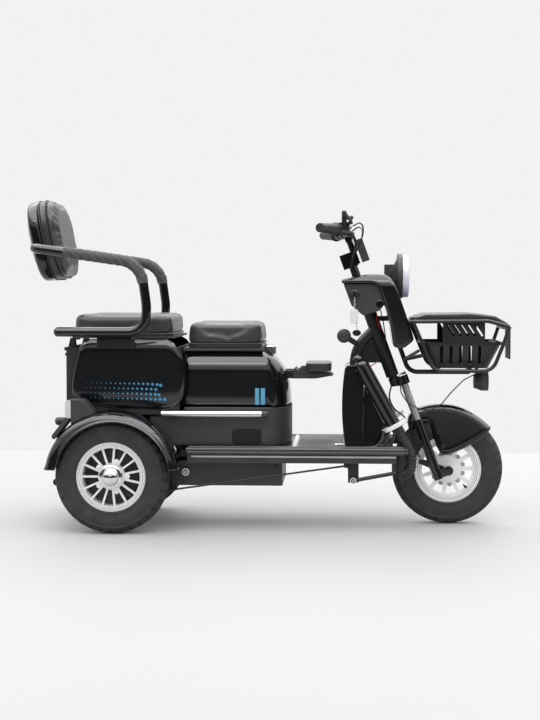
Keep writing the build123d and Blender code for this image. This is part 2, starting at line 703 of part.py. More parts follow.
# ---------------------------------------------------------------- steering
def fork_crown():
    """Crown, steering tube and stem in one."""
    face = Circle(CROWN_BOSS_R)
    for y in (-LEG_Y, LEG_Y):
        face += make_hull([Circle(CROWN_BOSS_R).edge(), Pos(LEG_AHEAD, y) * Circle(CROWN_END_R).edge()])
    plate = Pos(0, 0, CROWN_LOW) * extrude(face, CROWN_HIGH - CROWN_LOW, dir=(0, 0, 1))
    stem = Pos(0, 0, CROWN_HIGH - 1) * Cylinder(
        STEM_R, STEM_JOIN - CROWN_HIGH + 1, align=(Align.CENTER, Align.CENTER, Align.MIN))
    upper = Pos(16, 0, STEM_JOIN - 30) * Cylinder(
        10, STEM_HIGH - STEM_JOIN + 34, align=(Align.CENTER, Align.CENTER, Align.MIN))
    clamp = Pos(-6, 0, STEM_JOIN - 10) * Box(50, 42, 48) + Pos(15, 0, 460) * Box(22, 46, 18)
    return STEER * (plate + stem + upper + clamp) - rod(BAR_R + RUNNING_GAP, (262, -60, 930), (262, 60, 930))


def fork_legs():
    axle_ahead = (FRONT_AXLE_X - STEER_X) * cos(radians(RAKE)) + (WHEEL_R - STEER_Z) * sin(radians(RAKE))
    axle_low = -(FRONT_AXLE_X - STEER_X) * sin(radians(RAKE)) + (WHEEL_R - STEER_Z) * cos(radians(RAKE))
    stanchions, sliders = [], []
    for y in (-LEG_Y, LEG_Y):
        stanchions.append(STEER * Pos(LEG_AHEAD, y, SLIDER_HIGH) * Cylinder(
            STANCHION_R, CROWN_LOW - SLIDER_HIGH - 0.1, align=(Align.CENTER, Align.CENTER, Align.MIN)))
        slider = Pos(LEG_AHEAD, y, SLIDER_LOW) * Cylinder(
            SLIDER_R, SLIDER_HIGH - SLIDER_LOW, align=(Align.CENTER, Align.CENTER, Align.MIN))
        slider += Pos((LEG_AHEAD + axle_ahead) / 2, y, axle_low) * Box(axle_ahead - LEG_AHEAD, 16, 26)
        slider += Pos(axle_ahead, y, axle_low) * Rot(90, 0, 0) * Cylinder(15, 16)
        sliders.append(STEER * slider)
    legs = sliders[0] + sliders[1] + rod(AXLE_R, (FRONT_AXLE_X, -LEG_Y - 16, WHEEL_R),
                                         (FRONT_AXLE_X, LEG_Y + 16, WHEEL_R))
    save("fork_stanchions", *stanchions)
    save("fork_sliders", legs)


def front_fender():
    """Deep fender round the front wheel's top, turning with the fork."""
    outer = side([(446, 300), (444, 340), (456, 362), (489, 376), (544, 386), (599, 382), (644, 364),
                  (684, 338), (712, 312), (703, 296), (660, 268), (615, 244), (575, 226),
                  (552, 226), (539, 245), (523, 290), (508, 336), (470, 320)], -54, 54)
    inner = side([(430, 250), (452, 340), (462, 357), (490, 370), (544, 380), (599, 376), (642, 359),
                  (681, 334), (715, 305), (703, 200), (520, 150)], -49, 49)
    return outer - inner


def half_bar(radius):
    """Left half of the bar, swept back at its shoulder."""
    return tube([(262, 60, 930), (240, 170, 938), (168, 326, 941)], radius, [60])


def handlebar():
    half = half_bar(BAR_R)
    return half + rod(BAR_R, (262, -66, 930), (262, 66, 930)) + mirrored(half)


def on_bar(share):
    """Point on the left bar's outer straight run."""
    return Vector(240, 170, 938) + Vector(-72, 156, 3) * share


def bored(solid):
    """The solid with the bar's room cut out of it, and a vent past the bar's end."""
    room = rod(BAR_R + RUNNING_GAP, on_bar(0.3), on_bar(1.003))
    return solid - half_bar(BAR_R + RUNNING_GAP) - room - rod(2.5, on_bar(1), on_bar(1.2))


def bar_plane(share):
    """Plane across the left bar, its Z outward along the bar and its X upward."""
    return Plane(origin=on_bar(share), z_dir=on_bar(1) - on_bar(0), x_dir=(0, 0, 1))


def grip():
    """Left grip, tapered outward from a flange, with a closed end."""
    low = (Align.CENTER, Align.CENTER, Align.MIN)
    body = bar_plane(0.36) * Cone(20, 14, 113, align=low)
    flange = bar_plane(0.36) * Cylinder(22, 5, align=low)
    return bored(body + flange)


def brake_lever():
    """Left lever on its perch, with the mirror's threaded boss and a switch housing."""
    perch = rod(17, on_bar(0.16), on_bar(0.33)) + rod(15, on_bar(-0.02), on_bar(0.17))
    perch += block((224, 256), (192, 212), (940, 962))
    lever = tube([(246, 203, 952), (262, 230, 965), (240, 322, 986)], 5, [25])
    lever += Pos(240, 322, 986) * Sphere(8)
    boss = rod(MIRROR_BOSS_R, (MIRROR_X, MIRROR_Y, 950), (MIRROR_X, MIRROR_Y, MIRROR_Z))
    stalk = rod(5.5, (MIRROR_X, MIRROR_Y, 976), (268, MIRROR_Y, 979))
    hole = rod(MIRROR_HOLE_R, (MIRROR_X, MIRROR_Y, MIRROR_Z - 14), (MIRROR_X, MIRROR_Y, MIRROR_Z + 1))
    return bored(perch + lever + boss + stalk) - hole


def display():
    return STEER * Pos(45, 0, 411) * Box(24, 90, 74)


def control_cables():
    """Left brake cable and switch loom, from the bar down into the cowl."""
    brake = [(268, 189, 952), (286, 160, 964), (299, 122, 957), (300, 85, 930), (286, 57, 893),
             (266, 34, 852), (272, 25, 812), (281, 22, 780)]
    loom = [(262, 146, 930), (268, 118, 926), (276, 88, 912), (277, 62, 884), (266, 44, 852),
            (262, 31, 822), (268, 22, 800), (277, 16, 778)]
    return [cable(brake, 2.5), cable(loom, 3.5)]


def front_brake():
    """Right brake arm beside the hub, and the cable to it from the crown."""
    arm = side([(478, 199), (484, 211), (496, 211), (560, 190), (566, 178), (560, 168), (548, 170)],
               -54, -49)
    arm += rod(9, (FRONT_AXLE_X, -54, WHEEL_R), (FRONT_AXLE_X, -47, WHEEL_R))
    arm -= disc(AXLE_R + RUNNING_GAP, -60, -40).moved(Location((FRONT_AXLE_X, 0, WHEEL_R)))
    route = [(392, -62, 449), (383, -62, 413), (398, -65, 375), (432, -68, 352), (452, -69, 322),
             (460, -69, 285), (470, -65, 248), (484, -59, 218)]
    save("front_brake_arm", arm)
    save("front_brake_cable", cable(route, 2.5))


def steering():
    save("fork_crown", fork_crown())
    fork_legs()
    save("front_fender", front_fender())
    save("handlebar", handlebar())
    save("grips", grip(), mirrored(grip()))
    save("brake_levers", brake_lever(), mirrored(brake_lever()))
    save("display", display())
    cables = control_cables()
    save("control_cables", *cables, *[mirrored(each) for each in cables])
    front_brake()


wheels()
undercarriage()
bodies()
rear_trim()
shields()
luggage()
rests()
seats()
steering()
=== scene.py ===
# %% [markdown]
# # A three-wheeled electric scooter, dressed over its CAD frame
#
# The frame, wheels, panels and tubes already exist as an engineering model. This lesson
# gives that model its looks: a camera, studio light, procedural finishes, and the soft or
# finely detailed pieces that a CAD kernel would only have drawn as plain solids.

# %% Load the frame
from math import atan2, cos, pi, radians, sin, sqrt

import bmesh
import bpy
from mathutils import Matrix, Vector
from mathutils.bvhtree import BVHTree
from mathutils.geometry import delaunay_2d_cdt, intersect_point_line
from mathutils.kdtree import KDTree


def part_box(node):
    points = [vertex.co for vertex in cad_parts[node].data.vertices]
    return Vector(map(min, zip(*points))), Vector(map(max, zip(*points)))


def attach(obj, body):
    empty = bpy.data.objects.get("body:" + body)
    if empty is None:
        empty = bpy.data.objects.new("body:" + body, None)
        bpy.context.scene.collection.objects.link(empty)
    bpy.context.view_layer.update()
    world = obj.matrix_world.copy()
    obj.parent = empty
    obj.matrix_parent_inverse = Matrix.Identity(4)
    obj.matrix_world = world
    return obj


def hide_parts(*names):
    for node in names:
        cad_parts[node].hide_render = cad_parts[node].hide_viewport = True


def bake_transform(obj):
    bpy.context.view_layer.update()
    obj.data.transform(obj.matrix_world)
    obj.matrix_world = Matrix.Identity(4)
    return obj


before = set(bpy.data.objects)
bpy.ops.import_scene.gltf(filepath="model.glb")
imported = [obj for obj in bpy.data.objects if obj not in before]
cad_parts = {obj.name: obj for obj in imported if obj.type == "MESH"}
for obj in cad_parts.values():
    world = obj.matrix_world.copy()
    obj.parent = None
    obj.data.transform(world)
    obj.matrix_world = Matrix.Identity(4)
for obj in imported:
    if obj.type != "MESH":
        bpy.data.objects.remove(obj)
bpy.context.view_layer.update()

# %% [markdown]
# The drawing counts its stations in millimetres from a zero near the middle of the floor,
# while the model is in metres from the middle of its overall length. One small function
# turns the first into the second, so every later number can be read off the drawing.

# %% Stations to metres
STATION_SHIFT = 2.16


def at(x, y, z):
    """Metres in the model's frame, from millimetres on the drawing."""
    return Vector(((x + STATION_SHIFT) / 1000, y / 1000, z / 1000))


def placed(name, data):
    """A new object of this data, in the scene."""
    made = bpy.data.objects.new(name, data)
    bpy.context.collection.objects.link(made)
    return made


print("the drawing's zero is at", tuple(at(0, 0, 0)))

# %% [markdown]
# ## The camera
# A side view taken from a little in front of the middle, at about hip height. A long lens
# keeps the near and far wheels close in size, as in most side views of vehicles.

# %% Camera
lens = bpy.data.cameras.new("camera")
lens.lens, lens.sensor_width = 72.5, 36
camera = placed("camera", lens)
camera.location = (0.24846, -4.70, 0.760)
camera.rotation_euler = (radians(87.158), 0, radians(3))
bpy.context.scene.camera = camera
print("camera at", tuple(round(v, 3) for v in camera.location))

# %% [markdown]
# ## Shader sums written as sums
# A node tree is easier to read as arithmetic. `Wire` wraps a socket, and each operator on it
# adds one Math node, so `1 - mask` works. `Finish` makes a material and adds any other
# node from its type, its inputs and its settings.

# %% Wire and Finish
class Wire:
    """A shader value that can be added, scaled and taken from a number."""

    def __init__(self, finish, socket):
        self.finish, self.socket = finish, socket

    def math(self, operation, *values):
        return self.finish.node("Math", dict(enumerate(values)), operation=operation)

    def __add__(self, other):
        return self.math("ADD", self, other)

    def __rsub__(self, other):
        return self.math("SUBTRACT", other, self)

    def __mul__(self, other):
        return self.math("MULTIPLY", self, other)

    __radd__, __rmul__ = __add__, __mul__

    def smooth(self, low, high):
        """0 below low and 1 above high, with a soft step between."""
        return self.finish.node("MapRange", {"Value": self, "From Min": low, "From Max": high},
                                interpolation_type="SMOOTHSTEP")


class Finish:
    """One material: its Principled shader and the nodes that feed it."""

    def __init__(self, name, color, roughness, metallic=0.0, **fixed):
        self.material = bpy.data.materials.new(name)
        self.material.use_nodes = True
        self.tree = self.material.node_tree
        self.shader = self.tree.nodes["Principled BSDF"]
        self.set(Base_Color=(*color, 1), Roughness=roughness, Metallic=metallic, **fixed)
        self.place = self.node("TexCoord", {}, "Object")

    def feed(self, node, inputs):
        for key, value in inputs.items():
            if isinstance(value, Wire):
                self.tree.links.new(value.socket, node.inputs[key])
            else:
                node.inputs[key].default_value = value

    def set(self, **values):
        self.feed(self.shader, {key.replace("_", " "): value for key, value in values.items()})

    def node(self, kind, inputs, output=0, **settings):
        made = self.tree.nodes.new("ShaderNode" + kind)
        for key, value in settings.items():
            setattr(made, key, value)
        self.feed(made, inputs)
        return Wire(self, made.outputs[output])

    def noise(self, scale, detail=2.0, stretch=(1, 1, 1)):
        """Cloudy noise from 0 to 1; stretch squeezes it along an axis, as brushing does."""
        place = self.node("Mapping", {"Vector": self.place, "Scale": stretch})
        return self.node("TexNoise", {"Vector": place, "Scale": scale, "Detail": detail})

    def cells(self, scale, feature="F1"):
        return self.node("TexVoronoi", {"Vector": self.place, "Scale": scale}, "Distance", feature=feature)

    def wave(self, scale, direction, distortion=0.0, **settings):
        return self.node("TexWave", {"Vector": self.place, "Scale": scale, "Distortion": distortion},
                         bands_direction=direction, **settings)

    def axis(self, name):
        """The Object coordinate along one axis, in metres."""
        return self.node("SeparateXYZ", {0: self.place}, name)

    def blend(self, mask, low, high):
        """Colour that goes from low to high as the mask rises."""
        low, high = [c if isinstance(c, Wire) else (*c, 1) for c in (low, high)]
        return self.node("Mix", {0: mask, 6: low, 7: high}, 2, data_type="RGBA")

    def bump(self, height, depth, strength):
        """Normal from a height of 0 to 1 that stands depth metres high."""
        self.set(Normal=self.node("Bump", {"Strength": strength, "Distance": depth, "Height": height}))


print("shader helpers ready")

# %% [markdown]
# ## Finishes
# Most of the vehicle is black, so the finishes differ in gloss and grain rather than in
# colour: wet-looking lacquer on the body panels, a fine grain on the moulded trim, powder
# coat on the tubes, dusty rubber and soft leather. Each gets a slow change of roughness,
# because real paint is never equally clean all over.

# %% Paint, moulded plastic and powder coat
LACQUER = (0.0055, 0.006, 0.007)
gloss = Finish("gloss_black_lacquer", LACQUER, 0.1, Coat_Weight=0.35, Coat_Roughness=0.04)
wear = gloss.noise(9, 3)
gloss.set(Roughness=0.07 + 0.08 * wear, Base_Color=gloss.blend(wear, LACQUER, [1.5 * c for c in LACQUER]))
gloss.bump(gloss.noise(60, 1), 0.00003, 0.15)


def grained(name, color, grain=1500, depth=0.0002, rough=0.5):
    """Moulded plastic with a leather-like grain."""
    finish = Finish(name, color, rough)
    haze = finish.noise(14, 4)
    finish.set(Roughness=rough - 0.07 + 0.16 * haze, Base_Color=finish.blend(haze, color, [1.6 * c for c in color]))
    finish.bump(finish.cells(grain) * 0.7 + finish.noise(grain * 1.5) * 0.3, depth, 0.6)
    return finish


trim = grained("grained_black_trim", (0.029, 0.029, 0.030))
box_plastic = grained("box_plastic", (0.012, 0.012, 0.0125), 1100)
# painted highlight: light grey for the bead along the footboard's edge, where the light catches it
bead_painted_highlight = grained("bead_painted_highlight", (0.26, 0.26, 0.26), 900, 0.0001, 0.3)
deck_plastic = grained("deck_plastic", (0.034, 0.0345, 0.036), 900, 0.0001, 0.22)
lid_plastic = grained("lid_plastic", (0.034, 0.034, 0.035), 1300, 0.0001, 0.27)
battery_skin = grained("battery_case", (0.030, 0.030, 0.031), 1800, 0.0001, 0.42)
coat = grained("powder_coat", (0.011, 0.011, 0.012), 2600, 0.00012, 0.36)
grip_rubber = grained("grip_rubber", (0.014, 0.014, 0.015), 900, 0.0003)
print("paint", gloss.material.name, "and powder coat", coat.material.name)

# %% Rubber and cable
rubber = Finish("tyre_rubber", (0.018, 0.018, 0.018), 0.7)
dust = rubber.noise(30, 5)
rubber.set(Roughness=0.62 + 0.2 * dust,
           Base_Color=rubber.blend(dust.smooth(0.35, 0.75), (0.019, 0.019, 0.0195), (0.034, 0.034, 0.033)))
rubber.bump(rubber.noise(700, 3), 0.0003, 0.5)

sheath = Finish("cable_sheath", (0.012, 0.012, 0.012), 0.4)
red_sheath = Finish("red_wire", (0.42, 0.012, 0.01), 0.38)
for finish in (sheath, red_sheath):
    finish.bump(finish.noise(900), 0.0002, 0.3)
print("tyres", rubber.material.name)

# %% Metals
def metal(name, color, rough, brushed=(1, 1, 1)):
    finish = Finish(name, color, rough, 1.0)
    streaks = finish.noise(220, 3, brushed)
    finish.set(Roughness=rough * 0.75 + rough * 0.5 * streaks)
    finish.bump(streaks, 0.0001, 0.25)
    return finish


def shade(name, tone, smoothest):
    """Flat grey, painted as the shade in the grooves and hollows of a rim."""
    finish = Finish(name, (tone, tone, tone), smoothest)
    finish.set(Roughness=smoothest + 0.2 * finish.noise(200, 3))
    finish.bump(finish.noise(900, 2), 0.0001, 0.3)
    return finish


wheel_paint = Finish("wheel_silver", (0.9, 0.9, 0.9), 0.3, 0.15)
fleck = wheel_paint.noise(1800, 2)
wheel_paint.set(Roughness=0.26 + 0.12 * wheel_paint.noise(20, 3),
                Base_Color=wheel_paint.blend(fleck, (0.90, 0.90, 0.90), (0.97, 0.97, 0.97)))
wheel_paint.bump(fleck, 0.0001, 0.3)
# painted shade: a darker grey for the rims' grooves and a lighter one for the front rim's hollows
groove_painted_shade = shade("groove_painted_shade", 0.24, 0.3)
hollow_painted_shade = shade("hollow_painted_shade", 0.36, 0.35)
chrome = metal("bright_chrome", (0.78, 0.79, 0.80), 0.08)
steel = metal("zinc_steel", (0.55, 0.55, 0.54), 0.32)
satin = metal("satin_silver", (0.74, 0.73, 0.70), 0.3, (0.05, 1, 1))
cast = Finish("cast_grey", (0.045, 0.046, 0.048), 0.5, 0.6)
cast.bump(cast.noise(500, 3), 0.0005, 0.6)
print("metals", [m.material.name for m in (wheel_paint, chrome, steel, satin, cast)])

# %% [markdown]
# The seats are covered in artificial leather. Its grain is a net of small pebbles, which a
# Voronoi pattern gives, over a slower wrinkle. The armrest tape is a plain woven band
# wound in a spiral: fine diagonal threads over a slow saw-toothed painted shade along its laps.

# %% Leather and tape
leather = Finish("seat_leather", (0.016, 0.016, 0.0175), 0.42, Sheen_Weight=0.12, Sheen_Roughness=0.4)
pebbles = leather.cells(650, "SMOOTH_F1")
folds = leather.noise(26, 4)
leather.set(Roughness=0.28 + 0.1 * folds + 0.06 * pebbles,
            Base_Color=leather.blend(folds, (0.028, 0.028, 0.030), (0.048, 0.048, 0.051)))
leather.bump(pebbles * 0.6 + folds * 0.7, 0.0004, 0.3)

tape = Finish("armrest_tape", (0.03, 0.03, 0.032), 0.62, Sheen_Weight=0.1)
threads = tape.wave(260.0, "DIAGONAL", 0.6)
# painted shade: a saw-toothed darkening repeated at each lap, mixed with the woven threads into the tape's colour
lap_painted_shade = tape.wave(26.2, "DIAGONAL", wave_profile="SAW")
tape.set(Roughness=0.55 + 0.15 * tape.noise(60, 3),
         Base_Color=tape.blend(threads * 0.35 + lap_painted_shade * 0.65, (0.022, 0.022, 0.023), (0.10, 0.10, 0.105)))
tape.bump(threads, 0.0003, 0.5)
print("covers", leather.material.name, tape.material.name)

# %% Lamps, prints and small trim
glass = Finish("headlamp_lens", (0.86, 0.86, 0.9), 0.1, Coat_Weight=0.6)
height = glass.axis("Z").smooth(0.735, 0.825)
glass.set(Roughness=0.06 + 0.1 * glass.noise(40),
          Base_Color=glass.blend(height, (0.66, 0.62, 0.82), (0.86, 0.87, 0.9)))
glass.bump(glass.wave(36.0, "Z"), 0.0008, 0.3)

tail_glass = Finish("tail_lens", (0.62, 0.63, 0.64), 0.15, Coat_Weight=0.5)
tail_glass.set(Roughness=0.12 + 0.15 * tail_glass.noise(80))
tail_glass.bump(tail_glass.wave(70.0, "Z"), 0.001, 0.7)

red_glass = Finish("red_reflector", (0.42, 0.012, 0.012), 0.2, Coat_Weight=0.6)
red_glass.set(Roughness=0.16 + 0.1 * red_glass.noise(90))
red_glass.bump(red_glass.cells(420), 0.0008, 0.8)


def print_ink(name, color):
    finish = Finish(name, color, 0.35)
    finish.set(Roughness=0.3 + 0.12 * finish.noise(60))
    finish.bump(finish.noise(1200), 0.00005, 0.3)
    return finish


blue = print_ink("blue_print", (0.055, 0.29, 0.52))
pale_blue = print_ink("pale_blue_print", (0.10, 0.36, 0.56))
white_plastic = print_ink("white_fob", (0.78, 0.78, 0.76))
screen = print_ink("dark_screen", (0.006, 0.007, 0.009))
print("materials", len(bpy.data.materials))

# %% [markdown]
# ## Floor and light
# Black lacquer is drawn by what it reflects, so the room matters more than its lamps. The
# room is pale all round, which gives soft shadows. What shines sees another room: a bright
# canopy overhead for the highlights on the panels' tops, and a dark zone low down behind
# the camera and ahead of the vehicle, so that upright panels stay deep black. The camera
# itself sees a plain pale wall everywhere, which the Light Path node arranges.

# %% World
WALL_TONE = (0.885, 0.885, 0.89)


class Sky(Finish):
    """The room's light, built with the same helpers as a material."""

    def __init__(self):
        world = bpy.data.worlds.new("room")
        world.use_nodes = True
        bpy.context.scene.world = world
        self.tree = world.node_tree
        self.shader = self.tree.nodes["Background"]
        self.place = self.node("TexCoord", {}, "Generated")


def ray(finish, kind):
    return finish.node("LightPath", {}, f"Is {kind} Ray")


room = Sky()
behind, up = (0 - room.axis("Y")).smooth(0.02, 0.36), room.axis("Z")
dim = behind.math("MAXIMUM", behind, room.axis("X").smooth(0.15, 0.42)) * (1 - up.smooth(0.15, 0.25))
room_tone = room.blend(dim, (0.93, 0.93, 0.94), (0.035, 0.035, 0.037))
canopy = room.blend(up.smooth(0.42, 0.75), room_tone, (4.3, 4.3, 4.35))
room_tone = room.blend(ray(room, "Glossy"), (0.9, 0.9, 0.905), canopy)
seen = ray(room, "Camera")
room.set(Color=room.blend(seen.math("MAXIMUM", seen, ray(room, "Transmission")), room_tone, WALL_TONE), Strength=1.0)
print("room", bpy.context.scene.world.name)

# %% [markdown]
# The floor is one large sheet. It ends in the wall's tone where the wall would begin, and
# the strip near the camera turns dark for shiny things, as the room does there.

# %% Floor
floor_mesh = bmesh.new()
bmesh.ops.create_grid(floor_mesh, x_segments=1, y_segments=1, size=20)
floor_data = bpy.data.meshes.new("floor")
floor_mesh.to_mesh(floor_data)
floor = placed("floor", floor_data)

ground = Finish("pale_floor", (0.77, 0.77, 0.77), 0.62, Specular_IOR_Level=0.3)
away = ground.axis("Y").smooth(1.975, 1.985)
near = 1 - ground.axis("Y").smooth(-2.2, -1.0)
flat_wall = ground.node("Emission", {"Color": (*WALL_TONE, 1)})
dark = ground.node("Emission", {"Color": (0.1, 0.1, 0.105, 1)})
lit = Wire(ground, ground.shader.outputs[0])
beyond = ground.node("MixShader", {0: away, 1: lit, 2: flat_wall})
shown = ground.node("MixShader", {0: ray(ground, "Glossy") * near, 1: beyond, 2: dark})
ground.tree.links.new(shown.socket, ground.tree.nodes["Material Output"].inputs["Surface"])
floor_data.materials.append(ground.material)
print("floor", floor.name)

# %% Lamps
def softbox(name, place, aim, size, power):
    data = bpy.data.lights.new(name, "AREA")
    data.shape, data.size, data.size_y, data.energy = "RECTANGLE", *size, power
    lamp = placed(name, data)
    lamp.location = place
    lamp.rotation_euler = (Vector(aim) - Vector(place)).to_track_quat("-Z", "Y").to_euler()


softbox("overhead", (0.1, -1.1, 2.9), (0, 0, 0.3), (3.4, 1.3), 5)
softbox("strip", (0, -2.3, 2.5), (0, 0, 0.5), (3.4, 0.14), 11)
softbox("rear_fill", (0.6, 2.6, 2.8), (0, 0, 0.4), (3.0, 1.2), 14)
bpy.context.scene.view_settings.view_transform = "Standard"

# %% [markdown]
# ## Dressing the CAD parts that are already right
# Tubes, brackets, rims and housings have their true shape in the CAD model. They only need
# their finish, so each name below is given one.

# %% Finishes on CAD parts
for finish, names in (
        (coat, "chassis_frame basket brake_linkage basket_carrier handlebar brake_levers front_brake_arm guard_feet"),
        (gloss, "fork_sliders fork_crown shield_webs guard_bars armrest_frame backrest_shell cowl leg_shield "
                "front_body rear_side_panels rear_fenders front_fender"),
        (trim, "lower_body cowl_panel headlight_housing display front_seat_base rear_seat_base horn "
               "child_seat_arm bag_hook front_plate"),
        (lid_plastic, "child_seat basket_lid"), (box_plastic, "rear_box"), (deck_plastic, "floorboard"),
        (battery_skin, "battery_box"), (cast, "rear_axle drive_motor"), (chrome, "ignition_lock"),
        (wheel_paint, "rear_rim_left rear_rim_right front_rim"), (satin, "side_tubes fork_stanchions"),
        (steel, "rear_shocks"), (rubber, "rear_tyre_left rear_tyre_right front_tyre"), (grip_rubber, "grips"),
        (sheath, "control_cables front_brake_cable horn_wire"), (glass, "headlight_lens"), (tail_glass, "tail_lights"),
        (leather, "front_seat_cushion rear_seat_cushion backrest_cushion"), (tape, "armrest_wraps")):
    for name in names.split():
        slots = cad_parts[name].data.materials
        slots.clear()
        slots.append(finish.material)
print("dressed", len(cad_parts))

# %% [markdown]
# ## A small bench of modelling tools
# Every new piece starts in a bmesh, is shaped there by operators, and ends as an object at
# the origin with its place in its mesh. These helpers keep that short. Their lengths and
# radii are in millimetres.

# %% Rods, slabs and turned shapes
def metres(point):
    """A tuple is a drawing point in millimetres; a vector is in metres already."""
    return at(*point) if isinstance(point, tuple) else point


def turn_to(direction):
    return Vector(direction).to_track_quat("Z", "Y").to_matrix().to_4x4()


def rod(bm, start, end, radius, end_radius=None, sides=24):
    """Round bar between two points, tapered where end_radius is given."""
    start, end = metres(start), metres(end)
    bmesh.ops.create_cone(bm, cap_ends=True, segments=sides, radius1=radius / 1000, depth=(end - start).length,
                          radius2=(radius if end_radius is None else end_radius) / 1000,
                          matrix=Matrix.Translation((start + end) / 2) @ turn_to(end - start))


def ball(bm, centre, radius, squash):
    bmesh.ops.create_uvsphere(bm, u_segments=28, v_segments=14, radius=radius / 1000,
                              matrix=Matrix.Translation(metres(centre)) @ Matrix.Diagonal((*squash, 1)))


def block(bm, low, high):
    """Box between two corners."""
    low, high = metres(low), metres(high)
    bmesh.ops.create_cube(bm, size=1, matrix=Matrix.Translation((low + high) / 2)
                          @ Matrix.Diagonal((*(high - low), 1)))


def lathe(bm, profile, centre, axis, steps=64):
    """Turns a line of (radius, along) about an axis through centre."""
    place = Matrix.Translation(metres(centre)) @ turn_to(axis)
    ring = [bm.verts.new(place @ Vector((radius / 1000, 0, along / 1000))) for radius, along in profile]
    edges = [bm.edges.new(pair) for pair in zip(ring, ring[1:])]
    bmesh.ops.spin(bm, geom=ring + edges, cent=place.to_translation(), axis=place.to_3x3() @ Vector((0, 0, 1)),
                   angle=2 * pi, steps=steps, use_merge=True, use_duplicate=False)


# %% Whole-shape tools
def whole(bm):
    return bm.verts[:] + bm.edges[:] + bm.faces[:]


def verts_in(made):
    return [v for v in made if isinstance(v, bmesh.types.BMVert)]


def outward(bm):
    bmesh.ops.recalc_face_normals(bm, faces=bm.faces[:])


def relax(bm):
    bmesh.ops.smooth_vert(bm, verts=bm.verts[:], factor=0.5, use_axis_x=True, use_axis_y=True, use_axis_z=True)


def rounded(bm, geom, offset, segments, affect="EDGES"):
    bmesh.ops.bevel(bm, geom=geom, offset=offset / 1000, segments=segments, profile=0.5, affect=affect, material=-1)


def bridge(bm, one, two):
    """Faces between two closed rings of points."""
    for n in range(len(one)):
        bm.faces.new((one[n - 1], one[n], two[n], two[n - 1]))


def both_sides(bm):
    """Adds the mirror image on the vehicle's other side."""
    bmesh.ops.mirror(bm, geom=whole(bm), matrix=Matrix(), merge_dist=-1, axis="Y")


def soft_box(low, high, axis, corner, corner_steps, rim=0):
    """Box in metres, its edges along one axis rounded by corner millimetres, then its rims by rim."""
    bm = bmesh.new()
    block(bm, low, high)
    along = [e for e in bm.edges if abs((e.verts[0].co - e.verts[1].co)[axis]) > 0.003]
    rounded(bm, along, corner, corner_steps)
    if rim:
        rounded(bm, [e for e in bm.edges if e.calc_face_angle(0) > 1.0], rim, 5)
    return bm


def outline_face(bm, points, y, corners):
    """Flat face in the side view at width y, each corner cut round by its own length."""
    verts = [bm.verts.new(at(x, y, z)) for x, z in points]
    bm.faces.new(verts)
    for vert, cut in zip(verts, corners):
        if cut:
            rounded(bm, [vert], cut, 7, "VERTICES")
    return max(bm.faces, key=lambda face: face.calc_area())


def side_slab(points, y, corners, thickness):
    """Side outline at width y, drawn out along Y by its thickness, on one side of the vehicle."""
    bm = bmesh.new()
    face = outline_face(bm, points, y, corners)
    made = bmesh.ops.extrude_face_region(bm, geom=[face])["geom"]
    bmesh.ops.translate(bm, verts=verts_in(made), vec=(0, thickness / 1000, 0))
    return bm


# %% Finished pieces
def piece(name, bm, finish, body="frame", corner=38, bevel=0, segments=2, subdivide=0, tidy=True, stands_for=None):
    """Turns a bmesh into a finished object that rides on a CAD body, or on none yet, and
    stands for a CAD part where one is named."""
    if tidy:
        bmesh.ops.remove_doubles(bm, verts=bm.verts[:], dist=0.00002)
        outward(bm)
    mesh = bpy.data.meshes.new(name)
    bm.to_mesh(mesh)
    bm.free()
    made = placed(name, mesh)
    mesh.materials.append(finish.material)
    mesh.shade_smooth()
    if bevel:
        rounding = made.modifiers.new("rounding", "BEVEL")
        rounding.width, rounding.segments = bevel / 1000, segments
        rounding.limit_method, rounding.angle_limit = "ANGLE", radians(corner)
        rounding.harden_normals = True
    elif not subdivide:
        mesh.set_sharp_from_angle(angle=radians(corner))
    if subdivide:
        surface = made.modifiers.new("surface", "SUBSURF")
        surface.levels = surface.render_levels = subdivide
    if body:
        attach(made, body)
    if stands_for:
        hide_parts(stands_for)
    return made


def evaluated_bmesh(made):
    """The shape an object has after its modifiers, as a new bmesh."""
    bpy.context.view_layer.update()
    out = bmesh.new()
    out.from_object(made, bpy.context.evaluated_depsgraph_get())
    return out


def even_squares(made, voxel):
    """An object remeshed to even squares of voxel millimetres, as a new bmesh."""
    squares = made.modifiers.new("squares", "REMESH")
    squares.mode, squares.voxel_size = "VOXEL", voxel / 1000
    bm = evaluated_bmesh(made)
    made.modifiers.remove(squares)
    return bm


def softened(node, voxel, passes, finish, name, body="frame", reshape=None):
    """A CAD part remeshed to small squares and relaxed, so that its edges turn round."""
    copy = placed("copy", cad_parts[node].data.copy())
    bm = even_squares(copy, voxel)
    bpy.data.objects.remove(copy)
    for _ in range(passes):
        relax(bm)
    if reshape:
        reshape(bm)
    piece(name, bm, finish, body, corner=60, tidy=False, stands_for=node)


print("bench ready")

# %% [markdown]
# Three larger tools. `route` walks along straight runs joined by arcs, `skin` wraps rings of
# points round such a walk with a radius of its own at each stop, and `pressed` makes a sheet
# from a side outline: its rim rolls over by a quarter of an oval, as a moulding's does.

